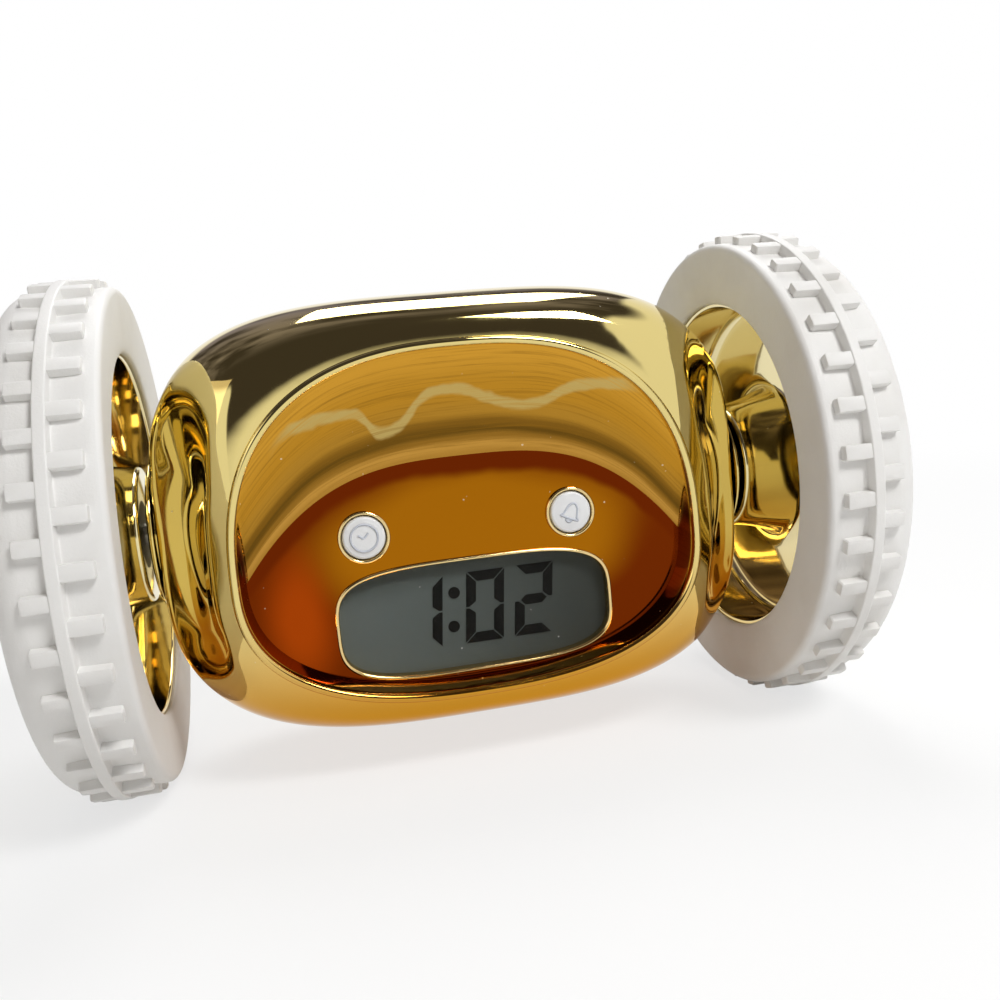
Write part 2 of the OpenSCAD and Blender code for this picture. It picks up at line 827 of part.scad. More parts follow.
// Broad boss that widens into the wheel's disc, with a seat for the tyre round its edge
boss_r = 12;
boss_l = 9.5;
boss_flare = 2.4;
boss_edge = 0.8;
disc_r = 31;            // inside radius of the rim that carries the tyre
module wheel_hub(s) {
    boss = [for (i = [0:8]) let (t = i / 8)
        [boss_r + boss_flare * pow(t, 1.8), boss_in_x + boss_edge + boss_l * t]];
    profile = concat(
        [[axle_r, boss_in_x], [boss_r - boss_edge, boss_in_x], [boss_r - 0.2, boss_in_x + 0.25]],
        boss,
        bend([14.8, 65.2], [15.5, 66], [18, 66], 4),
        bend([28.6, 65.6], [disc_r, 65.4], [disc_r, 63.4], 4),
        [[disc_r, hub_in_x + 0.5], [disc_r + 0.4, hub_in_x], [hub_seat_r, hub_in_x],
            [hub_seat_r, hub_out_x]],
        bend([31.4, hub_out_x], [30.4, hub_out_x], [30, hub_out_x - 0.6], 3),
        bend([27, 67], [20, 67.2], [13, 67.6], 4),
        bend([11, 67.8], [9.4, 68.2], [8.6, 68.2], 3),
        [[cap_r, 68.2], [cap_r, cap_seat_x], [axle_r, cap_seat_x]]);
    color(gold) on_side(s) turned_x(profile);
}

module wheel_hub_left() {
    wheel_hub(-1);
}

module wheel_hub_right() {
    wheel_hub(1);
}

module hub_cap(s) {
    crown = bend([cap_r - 0.1, 68.4], [cap_r - 0.6, 69.2], [4, 69.5], 4);
    color(gold) on_side(s)
        turned_x(concat([[0, cap_seat_x], [cap_r - 0.1, cap_seat_x]], crown, [[0, 69.7]]));
}

module hub_cap_left() {
    hub_cap(-1);
}

module hub_cap_right() {
    hub_cap(1);
}

// Tyre with a centre rib and squared lugs that sit in two staggered rows
module tyre(s) {
    half = tyre_w / 2;
    floor_r = axle_z - rib_h;
    rib_half = 1.25;
    lug_end = 6.1;
    bead_r = 31.6;
    seat = 6.2;
    side_r = 38.6;
    shoulder = [floor_r, 5.9];
    // One side of the section, from the rib out over the shoulder to the bead, as [r, x]
    flank = concat(
        [[axle_z, rib_half - 0.15], [axle_z - 0.15, rib_half], [floor_r, rib_half]],
        bend(shoulder, [42.4, half - 0.1], [side_r, half], 6),
        bend([36.6, half], [33.6, half - 0.3], [bead_r + 0.3, seat + 1.4], 5),
        [[bead_r, seat + 0.9], [bead_r, seat], [hub_seat_r, seat]]);
    mirrored = [for (i = [len(flank) - 1:-1:0]) [flank[i][0], -flank[i][1]]];
    section = [for (p = concat(flank, mirrored)) [p[0], p[1] + wheel_x]];
    lug_top = axle_z - 0.2;
    lug_root = floor_r - 0.8;
    color(white) on_side(s) union() {
        turned_x(section);
        for (k = [0:lug_count - 1], side = [-1, 1])
            rotate([(k + (side > 0 ? 0.5 : 0)) * 360 / lug_count, 0, 0])
                translate([wheel_x + (side > 0 ? rib_half - 0.3 : -lug_end), -lug_w / 2, lug_root])
                    cube([lug_end - rib_half + 0.3, lug_w, lug_top - lug_root]);
    }
}

module tyre_left() {
    tyre(-1);
}

module tyre_right() {
    tyre(1);
}

front_shell();
rear_shell();
face_panel();
lcd_frame();
lcd_window();
lcd_module();
button_rings();
clock_button();
alarm_button();
display_board();
front_switches();
chassis();
main_board();
rear_switches();
speaker();
rear_panel();
panel_screws();
hour_button();
minute_button();
battery_box();
battery_contacts();
battery_cells();
battery_door();
door_screw();
gearbox_left();
gearbox_right();
motor_left();
motor_right();
gear_pin_left();
gear_pin_right();
side_collar_left();
side_collar_right();
axle_bush_left();
axle_bush_right();
motor_pinion_left();
motor_pinion_right();
compound_gear_left();
compound_gear_right();
output_gear_left();
output_gear_right();
axle_shaft_left();
axle_shaft_right();
wheel_hub_left();
wheel_hub_right();
hub_cap_left();
hub_cap_right();
tyre_left();
tyre_right();
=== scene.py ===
import bpy
import bmesh
import json
import math
from mathutils import Matrix, Vector


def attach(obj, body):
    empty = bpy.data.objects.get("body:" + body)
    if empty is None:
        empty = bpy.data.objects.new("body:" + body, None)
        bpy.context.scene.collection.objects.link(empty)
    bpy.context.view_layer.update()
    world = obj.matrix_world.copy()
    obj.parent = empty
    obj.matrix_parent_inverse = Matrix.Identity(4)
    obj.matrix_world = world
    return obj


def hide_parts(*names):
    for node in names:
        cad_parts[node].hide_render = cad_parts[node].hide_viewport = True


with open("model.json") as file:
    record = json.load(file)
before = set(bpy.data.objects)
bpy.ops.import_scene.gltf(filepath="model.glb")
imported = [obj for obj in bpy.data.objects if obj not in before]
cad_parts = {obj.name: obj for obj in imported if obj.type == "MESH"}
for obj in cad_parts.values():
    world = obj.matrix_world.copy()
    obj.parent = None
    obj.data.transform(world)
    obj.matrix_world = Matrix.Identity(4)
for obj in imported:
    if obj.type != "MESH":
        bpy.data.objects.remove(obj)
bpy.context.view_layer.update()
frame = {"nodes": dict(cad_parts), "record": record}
print("frame loaded")

mm = 0.001
axleZ = 44.5      # height of the axle, which pieces below are measured from


def signedPower(value, power):
    return math.copysign(abs(value) ** power, value)


def mixed(a, b, t):
    if isinstance(a, (int, float)):
        return a * (1 - t) + b * t
    return tuple(p * (1 - t) + q * t for p, q in zip(a, b))


def smoothed(t):
    c = max(0.0, min(1.0, t))
    return c * c * (3 - 2 * c)


def bend(p, q, r, steps):
    return [mixed(mixed(p, q, i / steps), mixed(q, r, i / steps), i / steps) for i in range(steps + 1)]


def placed(name, data):
    thing = bpy.data.objects.new(name, data)
    bpy.context.scene.collection.objects.link(thing)
    return thing


def meshFrom(name, points, faces):
    mesh = bpy.data.meshes.new(name)
    mesh.from_pydata([(x * mm, y * mm, (z + axleZ) * mm) for x, y, z in points], [], faces)
    bm = bmesh.new()
    bm.from_mesh(mesh)
    bmesh.ops.recalc_face_normals(bm, faces=bm.faces)
    bm.to_mesh(mesh)
    bm.free()
    return mesh


def shadeWith(mesh, sharp):
    mesh.shade_smooth()
    mesh.set_sharp_from_angle(angle=math.radians(sharp))


def makePiece(name, points, faces, finish, body, nodes=(), slotName=None, sharp=40):
    mesh = meshFrom(name, points, faces)
    shadeWith(mesh, sharp)
    mesh.materials.append(finish)
    piece = placed(name, mesh)
    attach(piece, body)
    if nodes:
        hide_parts(*nodes)
    return piece


def ringSkin(rings):
    count = len(rings[0])
    points = [p for ring in rings for p in ring]
    faces = []
    for j in range(len(rings)):
        k = (j + 1) % len(rings)
        for i in range(count):
            n = (i + 1) % count
            faces.append((j * count + i, k * count + i, k * count + n, j * count + n))
    return points, faces


def turned(profile, steps, side=1, closed=True):
    # profile is [radius, x]; a radius of 0 becomes one point on the axle
    points, rings = [], []
    for r, x in profile:
        if r < 1e-6:
            rings.append([len(points)])
            points.append((side * x, 0.0, 0.0))
            continue
        rings.append(list(range(len(points), len(points) + steps)))
        for i in range(steps):
            a = 2 * math.pi * i / steps
            points.append((side * x, r * math.cos(a), r * math.sin(a)))
    faces = []
    last = len(rings) if closed else len(rings) - 1
    for j in range(last):
        a, b = rings[j], rings[(j + 1) % len(rings)]
        for i in range(steps):
            n = (i + 1) % steps
            corners = [a[i % len(a)], b[i % len(b)], b[n % len(b)], a[n % len(a)]]
            face = tuple(dict.fromkeys(corners))
            if len(face) > 2:
                faces.append(face)
    return points, faces


def joined(parts):
    points, faces = [], []
    for somePoints, someFaces in parts:
        base = len(points)
        points += somePoints
        faces += [tuple(base + i for i in face) for face in someFaces]
    return points, faces


def plate(outline, y0, y1, soft=0.0):
    # flat shape [x, z] given thickness along Y, its front edge eased by soft
    count = len(outline)
    rings = [[(x, y1, z) for x, z in outline]]
    if soft:
        cx = sum(p[0] for p in outline) / count
        cz = sum(p[1] for p in outline) / count
        reach = max(math.hypot(x - cx, z - cz) for x, z in outline)
        inner = [mixed((x, z), (cx, cz), soft / reach) for x, z in outline]
        rings.append([(x, y0 + soft, z) for x, z in outline])
        rings.append([(x, y0, z) for x, z in inner])
    else:
        rings.append([(x, y0, z) for x, z in outline])
    points = [p for ring in rings for p in ring]
    faces = []
    for j in range(len(rings) - 1):
        for i in range(count):
            n = (i + 1) % count
            faces.append((j * count + i, (j + 1) * count + i, (j + 1) * count + n, j * count + n))
    faces.append(tuple(range(count)))
    faces.append(tuple(range(len(points) - count, len(points))))
    return points, faces


def bead(path, radius, y, closed=True, sides=8):
    # round bead that follows [x, z] points in a plane that faces the front
    count = len(path)
    rings = []
    for i in range(count):
        before = path[(i - 1) % count] if closed else path[max(0, i - 1)]
        after = path[(i + 1) % count] if closed else path[min(count - 1, i + 1)]
        dx, dz = after[0] - before[0], after[1] - before[1]
        size = math.hypot(dx, dz) or 1.0
        across = (-dz / size, dx / size)
        ring = []
        for k in range(sides):
            a = 2 * math.pi * k / sides
            out = radius * math.cos(a)
            ring.append((path[i][0] + across[0] * out, y + radius * math.sin(a),
                         path[i][1] + across[1] * out))
        rings.append(ring)
    points = [p for ring in rings for p in ring]
    faces = []
    for j in range(count if closed else count - 1):
        k = (j + 1) % count
        for i in range(sides):
            n = (i + 1) % sides
            faces.append((j * sides + i, k * sides + i, k * sides + n, j * sides + n))
    if not closed:
        faces.append(tuple(range(sides)))
        faces.append(tuple(range(len(points) - sides, len(points))))
    return points, faces


def circlePath(cx, cz, r, steps, start=0.0, sweep=360.0):
    full = sweep >= 360.0
    last = steps if full else steps - 1
    return [(cx + r * math.cos(math.radians(start + sweep * i / last)),
             cz + r * math.sin(math.radians(start + sweep * i / last))) for i in range(steps)]


def boredThrough(piece, radius):
    # opens the case ends for the collars
    steps, reach = 96, 70.0
    points, faces = turned([(radius, -reach), (radius, reach)], steps, closed=False)
    faces += [tuple(range(steps)), tuple(range(steps, 2 * steps))]
    cutter = placed("endBore", meshFrom("endBore", points, faces))
    cut = piece.modifiers.new("endBore", "BOOLEAN")
    cut.operation = "DIFFERENCE"
    cut.solver = "EXACT"
    cut.object = cutter
    seen = bpy.context.evaluated_depsgraph_get()
    whole = bpy.data.meshes.new_from_object(piece.evaluated_get(seen))
    piece.modifiers.clear()
    old = piece.data
    piece.data = whole
    bpy.data.meshes.remove(old)
    bpy.data.objects.remove(cutter)
    shadeWith(whole, 40)


def newTree(name, inputs, outputs):
    tree = bpy.data.node_groups.new(name, "ShaderNodeTree")
    for label, kind, start in inputs:
        tree.interface.new_socket(label, in_out="INPUT", socket_type=kind).default_value = start
    for label, kind in outputs:
        tree.interface.new_socket(label, in_out="OUTPUT", socket_type=kind)
    return tree, tree.nodes.new("NodeGroupInput"), tree.nodes.new("NodeGroupOutput")


def put(tree, socket, value):
    if isinstance(value, bpy.types.NodeSocket):
        tree.links.new(value, socket)
    else:
        socket.default_value = value


def calc(tree, kind, a, b=0.0, c=0.0, clamp=False):
    node = tree.nodes.new("ShaderNodeMath")
    node.operation = kind
    node.use_clamp = clamp
    for socket, value in zip(node.inputs, (a, b, c)):
        put(tree, socket, value)
    return node.outputs[0]


def noise(tree, where, scale, detail=3.0, rough=0.5):
    node = tree.nodes.new("ShaderNodeTexNoise")
    put(tree, node.inputs["Vector"], where)
    put(tree, node.inputs["Scale"], scale)
    node.inputs["Detail"].default_value = detail
    node.inputs["Roughness"].default_value = rough
    return node.outputs["Fac"]


def stepped(tree, value, low, high, bottom=0.0, top=1.0):
    node = tree.nodes.new("ShaderNodeMapRange")
    node.interpolation_type = "SMOOTHSTEP"
    for label, item in (("Value", value), ("From Min", low), ("From Max", high),
                        ("To Min", bottom), ("To Max", top)):
        put(tree, node.inputs[label], item)
    return node.outputs["Result"]


def blended(tree, share, a, b, kind="MIX"):
    node = tree.nodes.new("ShaderNodeMix")
    node.data_type = "RGBA"
    node.blend_type = kind
    put(tree, node.inputs[0], share)
    put(tree, node.inputs[6], a)
    put(tree, node.inputs[7], b)
    return node.outputs[2]


def atPiece(tree):
    return tree.nodes.new("ShaderNodeTexCoord").outputs["Object"]


def axesOf(tree, where):
    node = tree.nodes.new("ShaderNodeSeparateXYZ")
    tree.links.new(where, node.inputs[0])
    return node.outputs


def centred(tree, value):
    return calc(tree, "SUBTRACT", value, 0.5)


def reachOf(tree, a, b):
    squares = calc(tree, "ADD", calc(tree, "MULTIPLY", a, a), calc(tree, "MULTIPLY", b, b))
    return calc(tree, "SQRT", squares)


def colour(r, g, b):
    return (r, g, b, 1.0)


def makeHandlingMarks():
    # smears, a faint waviness and dust on a glossy surface
    tree, fed, out = newTree("handlingMarks", [
        ("Roughness", "NodeSocketFloat", 0.1), ("Smear", "NodeSocketFloat", 0.05),
        ("Smear Scale", "NodeSocketFloat", 60.0), ("Dust", "NodeSocketFloat", 0.5)],
        [("Roughness", "NodeSocketFloat"), ("Height", "NodeSocketFloat"), ("Dust", "NodeSocketFloat")])
    where = atPiece(tree)
    smear = noise(tree, where, fed.outputs["Smear Scale"], 4.0, 0.6)
    smear = stepped(tree, smear, 0.45, 0.7)
    grit = tree.nodes.new("ShaderNodeTexVoronoi")
    grit.inputs["Scale"].default_value = 420.0
    tree.links.new(where, grit.inputs["Vector"])
    speck = stepped(tree, grit.outputs["Distance"], 0.10, 0.045)
    patch = stepped(tree, noise(tree, where, 900.0, 1.0), 0.60, 0.66)
    dust = calc(tree, "MULTIPLY", calc(tree, "MULTIPLY", speck, patch), fed.outputs["Dust"], clamp=True)
    rough = calc(tree, "MULTIPLY_ADD", smear, fed.outputs["Smear"], fed.outputs["Roughness"])
    rough = calc(tree, "MULTIPLY_ADD", dust, 0.5, rough, clamp=True)
    wave = calc(tree, "MULTIPLY_ADD", dust, 0.4, noise(tree, where, 130.0, 2.0))
    tree.links.new(rough, out.inputs["Roughness"])
    tree.links.new(wave, out.inputs["Height"])
    tree.links.new(dust, out.inputs["Dust"])
    return tree


def makeReflectionWash():
    # painted reflection: slow change of colour from Low to High between two heights, the warm Low standing
    # for a surface reflected from below, broken by a wash of random tone
    tree, fed, out = newTree("reflectionWash", [
        ("High", "NodeSocketColor", colour(0.8, 0.6, 0.2)),
        ("Low", "NodeSocketColor", colour(0.8, 0.5, 0.1)),
        ("Height Low", "NodeSocketFloat", 0.01), ("Height High", "NodeSocketFloat", 0.08),
        ("Wash", "NodeSocketFloat", 0.1), ("Wash Scale", "NodeSocketFloat", 30.0)],
        [("Color", "NodeSocketColor")])
    where = atPiece(tree)
    rise = stepped(tree, axesOf(tree, where)[2], fed.outputs["Height Low"], fed.outputs["Height High"])
    base = blended(tree, rise, fed.outputs["Low"], fed.outputs["High"])
    wash = noise(tree, where, fed.outputs["Wash Scale"], 3.0)
    shade = calc(tree, "MULTIPLY_ADD", centred(tree, wash), fed.outputs["Wash"], 1.0)
    grey = tree.nodes.new("ShaderNodeCombineColor")
    for k in range(3):
        tree.links.new(shade, grey.inputs[k])
    tree.links.new(blended(tree, 1.0, base, grey.outputs[0], "MULTIPLY"), out.inputs["Color"])
    return tree


def makeMouldGrain():
    # fine moulded grain with faint soiling, for rubber, plastics and boards
    tree, fed, out = newTree("mouldGrain", [
        ("Color", "NodeSocketColor", colour(0.8, 0.8, 0.8)),
        ("Soil", "NodeSocketColor", colour(0.6, 0.58, 0.55)),
        ("Soil Share", "NodeSocketFloat", 0.2), ("Grain Scale", "NodeSocketFloat", 2500.0),
        ("Roughness", "NodeSocketFloat", 0.5)],
        [("Color", "NodeSocketColor"), ("Roughness", "NodeSocketFloat"), ("Height", "NodeSocketFloat")])
    where = atPiece(tree)
    cloud = stepped(tree, noise(tree, where, 45.0, 4.0, 0.6), 0.42, 0.72)
    grain = noise(tree, where, fed.outputs["Grain Scale"], 2.0, 0.7)
    share = calc(tree, "MULTIPLY", cloud, fed.outputs["Soil Share"], clamp=True)
    tree.links.new(blended(tree, share, fed.outputs["Color"], fed.outputs["Soil"]), out.inputs["Color"])
    rough = calc(tree, "MULTIPLY_ADD", centred(tree, grain), 0.12, fed.outputs["Roughness"])
    tree.links.new(rough, out.inputs["Roughness"])
    tree.links.new(calc(tree, "MULTIPLY_ADD", cloud, 0.3, grain), out.inputs["Height"])
    return tree


def makeDishReflection():
    # lacquer with a painted reflection: Mid in the middle of an oval, Edge outside it
    tree, fed, out = newTree("dishReflection", [
        ("Mid", "NodeSocketColor", colour(0.4, 0.15, 0.01)),
        ("Edge", "NodeSocketColor", colour(0.2, 0.03, 0.0)),
        ("Centre X", "NodeSocketFloat", 0.0), ("Centre Z", "NodeSocketFloat", 0.04),
        ("Half Width", "NodeSocketFloat", 0.03), ("Half Height", "NodeSocketFloat", 0.02),
        ("Softness", "NodeSocketFloat", 0.4), ("Sway", "NodeSocketFloat", 0.3)],
        [("Color", "NodeSocketColor")])
    where = atPiece(tree)
    axes = axesOf(tree, where)
    across = calc(tree, "DIVIDE", calc(tree, "SUBTRACT", axes[0], fed.outputs["Centre X"]),
                  fed.outputs["Half Width"])
    upward = calc(tree, "DIVIDE", calc(tree, "SUBTRACT", axes[2], fed.outputs["Centre Z"]),
                  fed.outputs["Half Height"])
    sway = calc(tree, "MULTIPLY", centred(tree, noise(tree, where, 55.0, 1.0)), fed.outputs["Sway"])
    reach = calc(tree, "ADD", reachOf(tree, across, upward), sway)
    outer = calc(tree, "ADD", fed.outputs["Softness"], 1.0)
    share = stepped(tree, reach, calc(tree, "SUBTRACT", 1.0, fed.outputs["Softness"]), outer)
    tree.links.new(blended(tree, share, fed.outputs["Mid"], fed.outputs["Edge"]), out.inputs["Color"])
    return tree


def makeBrowHeight():
    # height above the arch where the sloping border meets the floor of the dish
    tree, fed, out = newTree("browHeight", [
        ("Half Width", "NodeSocketFloat", 0.038), ("Rise", "NodeSocketFloat", 0.017),
        ("Top", "NodeSocketFloat", 0.054)], [("Height", "NodeSocketFloat")])
    axes = axesOf(tree, atPiece(tree))
    side = calc(tree, "DIVIDE", calc(tree, "ABSOLUTE", axes[0]), fed.outputs["Half Width"])
    drop = calc(tree, "MULTIPLY", calc(tree, "POWER", side, 3.0), fed.outputs["Rise"])
    brow = calc(tree, "SUBTRACT", fed.outputs["Top"], drop)
    tree.links.new(calc(tree, "SUBTRACT", axes[2], brow), out.inputs["Height"])
    return tree


handlingMarks = makeHandlingMarks()
reflectionWash = makeReflectionWash()
mouldGrain = makeMouldGrain()
dishReflection = makeDishReflection()
browHeight = makeBrowHeight()


def grouped(tree, effect, **values):
    node = tree.nodes.new("ShaderNodeGroup")
    node.node_tree = effect
    for label, value in values.items():
        put(tree, node.inputs[label.replace("_", " ")], value)
    return node


def newFinish(name):
    finish = bpy.data.materials.new(name)
    finish.use_nodes = True
    tree = finish.node_tree
    return finish, tree, tree.nodes["Principled BSDF"]


def raised(tree, shader, height, strength, distance):
    bump = tree.nodes.new("ShaderNodeBump")
    bump.inputs["Strength"].default_value = strength
    bump.inputs["Distance"].default_value = distance
    tree.links.new(height, bump.inputs["Height"])
    tree.links.new(bump.outputs[0], shader.inputs["Normal"])


plating = {"reflectionLow": 0.009, "reflectionHigh": 0.037, "wash": 0.12, "washScale": 30.0,
           "smear": 0.05, "smearScale": 60.0, "dust": 0.5, "dustShade": (0.75, 0.72, 0.66)}
lacquer = {"rough": 0.06, "smear": 0.05, "smearScale": 80.0, "dust": 0.8, "dustShade": (0.80, 0.62, 0.42)}


def handledMetal(tree, shader, shade, rough, layer):
    # mirror metal with the dust and smears of a handled surface
    marks = grouped(tree, handlingMarks, Roughness=rough, Smear=layer["smear"],
                    Smear_Scale=layer["smearScale"], Dust=layer["dust"])
    dusty = blended(tree, marks.outputs["Dust"], shade, colour(*layer["dustShade"]))
    tree.links.new(dusty, shader.inputs["Base Color"])
    tree.links.new(marks.outputs["Roughness"], shader.inputs["Roughness"])
    shader.inputs["Metallic"].default_value = 1.0
    raised(tree, shader, marks.outputs["Height"], 0.06, 0.0004)


# plated metal whose colour carries a painted reflection: it turns from High to a warmer Low towards the
# bottom
def platedFinish(name, high, low, rough=0.05):
    finish, tree, shader = newFinish(name)
    tint = grouped(tree, reflectionWash, High=colour(*high), Low=colour(*low), Height_Low=plating["reflectionLow"],
                   Height_High=plating["reflectionHigh"], Wash=plating["wash"], Wash_Scale=plating["washScale"])
    handledMetal(tree, shader, tint.outputs["Color"], rough, plating)
    return finish


def mouldedFinish(name, base, soil, rough, share=0.25, scale=2500.0, bump=0.15):
    finish, tree, shader = newFinish(name)
    grain = grouped(tree, mouldGrain, Color=colour(*base), Soil=colour(*soil), Soil_Share=share,
                    Grain_Scale=scale, Roughness=rough)
    tree.links.new(grain.outputs["Color"], shader.inputs["Base Color"])
    tree.links.new(grain.outputs["Roughness"], shader.inputs["Roughness"])
    raised(tree, shader, grain.outputs["Height"], bump, 0.0002)
    return finish


# painted reflections of the border: colour bands by height above the arch, thin dark streaks and a pale
# wandering streak
arch = {"halfWidth": 0.038, "rise": 0.0173, "top": 0.0536, "reach": 0.0181,
        "bands": [(0.0, (0.40, 0.20, 0.03)), (0.08, (0.50, 0.26, 0.045)), (0.15, (0.27, 0.13, 0.016)),
                  (0.21, (0.125, 0.062, 0.007)), (0.29, (0.20, 0.095, 0.010)), (0.38, (0.40, 0.20, 0.022)),
                  (0.60, (0.46, 0.22, 0.018)), (0.95, (0.58, 0.29, 0.030))],
        "bandSway": 0.16, "darkStreakSway": 0.10, "darkStreak": (0.24, 0.11, 0.010),
        "streak": [(-0.031, 0.0584), (-0.0245, 0.0618), (-0.0176, 0.0624), (-0.0133, 0.0588),
                   (-0.0045, 0.0647), (0.0, 0.0649), (0.005, 0.0629), (0.012, 0.0611), (0.0186, 0.0631),
                   (0.0225, 0.0637), (0.0284, 0.0628)],
        "streakShade": (0.50, 0.37, 0.12), "streakHalf": 0.036, "streakBase": 0.054, "streakSpan": 0.016,
        "streakWobble": 0.0016}


def browAbove(tree):
    return grouped(tree, browHeight, Half_Width=arch["halfWidth"], Rise=arch["rise"],
                   Top=arch["top"]).outputs["Height"]


def streakMask(tree, where, axes):
    # painted reflection: one thin pale wandering streak; the curve gives its height for each place across the
    # dish
    curve = tree.nodes.new("ShaderNodeFloatCurve")
    points = curve.mapping.curves[0].points
    half, base, span = arch["streakHalf"], arch["streakBase"], arch["streakSpan"]
    while len(points) < len(arch["streak"]):
        points.new(0.5, 0.5)
    for point, (x, z) in zip(points, arch["streak"]):
        point.location = ((x + half) / (2 * half), (z - base) / span)
    curve.mapping.update()
    tree.links.new(calc(tree, "MULTIPLY_ADD", axes[0], 0.5 / half, 0.5), curve.inputs["Value"])
    line = calc(tree, "MULTIPLY_ADD", curve.outputs[0], span, base)
    wobble = calc(tree, "MULTIPLY", centred(tree, noise(tree, where, 260.0, 2.0)), arch["streakWobble"])
    away = calc(tree, "ABSOLUTE", calc(tree, "ADD", calc(tree, "SUBTRACT", axes[2], line), wobble))
    ends = stepped(tree, calc(tree, "ABSOLUTE", axes[0]), 0.0325, 0.0270)
    return calc(tree, "MULTIPLY", stepped(tree, away, 0.0013, 0.0005), ends)


def bandedFinish():
    # lacquer of the sloping border with painted reflections, in bands that follow the arch, with thin dark
    # streaks and one pale streak
    finish, tree, shader = newFinish("borderAmber")
    where = atPiece(tree)
    axes = axesOf(tree, where)
    above = browAbove(tree)
    along = tree.nodes.new("ShaderNodeCombineXYZ")
    tree.links.new(calc(tree, "MULTIPLY", axes[0], 18.0), along.inputs[0])
    tree.links.new(calc(tree, "MULTIPLY", above, 900.0), along.inputs[2])
    fine = noise(tree, along.outputs[0], 2.2, 5.0, 0.7)
    sway = noise(tree, where, 42.0, 1.5)
    level = calc(tree, "DIVIDE", above, arch["reach"])
    level = calc(tree, "MULTIPLY_ADD", centred(tree, sway), arch["bandSway"], level)
    level = calc(tree, "MULTIPLY_ADD", centred(tree, fine), arch["darkStreakSway"], level)
    ramp = tree.nodes.new("ShaderNodeValToRGB")
    ramp.color_ramp.interpolation = "EASE"
    while len(ramp.color_ramp.elements) < len(arch["bands"]):
        ramp.color_ramp.elements.new(0.5)
    for stop, (at, shade) in zip(ramp.color_ramp.elements, arch["bands"]):
        stop.position = at
        stop.color = colour(*shade)
    tree.links.new(level, ramp.inputs[0])
    # painted reflection: thin dark streaks along the arch
    darkStreaks = stepped(tree, fine, 0.46, 0.70, 0.0, 0.60)
    bandsWithStreaks = blended(tree, darkStreaks, ramp.outputs[0], colour(*arch["darkStreak"]))
    broken = stepped(tree, fine, 0.30, 0.55, 0.35, 0.85)
    share = calc(tree, "MULTIPLY", streakMask(tree, where, axes), broken)
    streaked = blended(tree, share, bandsWithStreaks, colour(*arch["streakShade"]))
    handledMetal(tree, shader, streaked, lacquer["rough"], lacquer)
    return finish


# painted reflection: amber lighter in the middle of an oval, darker red at its edge
amber = {"mid": (0.36, 0.125, 0.003), "edge": (0.15, 0.021, 0.001), "at": (0.001, 0.0385),
         "half": (0.027, 0.0125), "softness": 0.28, "sway": 0.35}
# painted reflection: a vivid red patch low on the left
lowLeftReflection = {"mid": (0.36, 0.050, 0.002), "at": (-0.0300, 0.0290), "half": (0.0045, 0.0100),
         "softness": 0.7, "sway": 0.8}
# painted shade: a dark red band just under the arch
shadeUnderBrow = {"shade": (0.135, 0.017, 0.001), "low": -0.0042, "high": -0.0022, "wobble": 0.0030}


def ovalReflection(tree, pool, edge):
    return grouped(tree, dishReflection, Mid=colour(*pool["mid"]), Edge=edge, Centre_X=pool["at"][0],
                   Centre_Z=pool["at"][1], Half_Width=pool["half"][0], Half_Height=pool["half"][1],
                   Softness=pool["softness"], Sway=pool["sway"]).outputs["Color"]


def floorFinish():
    # lacquer of the floor with painted reflection and shade: amber lighter in the middle, red round it, dark
    # red painted shade under the arch, a painted red reflection low on the left
    finish, tree, shader = newFinish("floorAmber")
    shade = ovalReflection(tree, lowLeftReflection, ovalReflection(tree, amber, colour(*amber["edge"])))
    wobble = calc(tree, "MULTIPLY", centred(tree, noise(tree, atPiece(tree), 90.0, 2.0)),
                  shadeUnderBrow["wobble"])
    under = stepped(tree, calc(tree, "ADD", browAbove(tree), wobble), shadeUnderBrow["low"], shadeUnderBrow["high"])
    shaded = blended(tree, under, shade, colour(*shadeUnderBrow["shade"]))
    handledMetal(tree, shader, shaded, lacquer["rough"], lacquer)
    return finish


# painted reflection: each plating's warmer Low colour stands for a warm surface reflected low on the metal
caseGold = platedFinish("caseGold", (0.75, 0.61, 0.24), (0.58, 0.26, 0.015))
hubGold = platedFinish("hubGold", (0.78, 0.68, 0.38), (0.72, 0.52, 0.19))
trimGold = platedFinish("trimGold", (0.80, 0.62, 0.30), (0.74, 0.52, 0.22), rough=0.12)
borderAmber = bandedFinish()
floorAmber = floorFinish()
tyreRubber = mouldedFinish("tyreRubber", (0.80, 0.79, 0.77), (0.66, 0.63, 0.58), 0.52, 0.35, 2200.0, 0.2)
capPlastic = mouldedFinish("capPlastic", (0.78, 0.79, 0.80), (0.70, 0.68, 0.64), 0.34, 0.2, 3500.0, 0.08)
# painted shade: the raised icon marks are tinted grey-blue in place of the shade along their lines
shadedMarkPlastic = mouldedFinish("shadedMarkPlastic", (0.54, 0.57, 0.64), (0.48, 0.50, 0.55), 0.36, 0.2, 3500.0, 0.08)
boardMask = mouldedFinish("boardMask", (0.02, 0.10, 0.04), (0.05, 0.16, 0.06), 0.4, 0.6, 900.0)
blackPlastic = mouldedFinish("blackPlastic", (0.015, 0.015, 0.017), (0.03, 0.03, 0.03), 0.5)
gearPlastic = mouldedFinish("gearPlastic", (0.76, 0.72, 0.60), (0.62, 0.56, 0.42), 0.42)
cellJacket = mouldedFinish("cellJacket", (0.06, 0.12, 0.32), (0.10, 0.16, 0.34), 0.3)


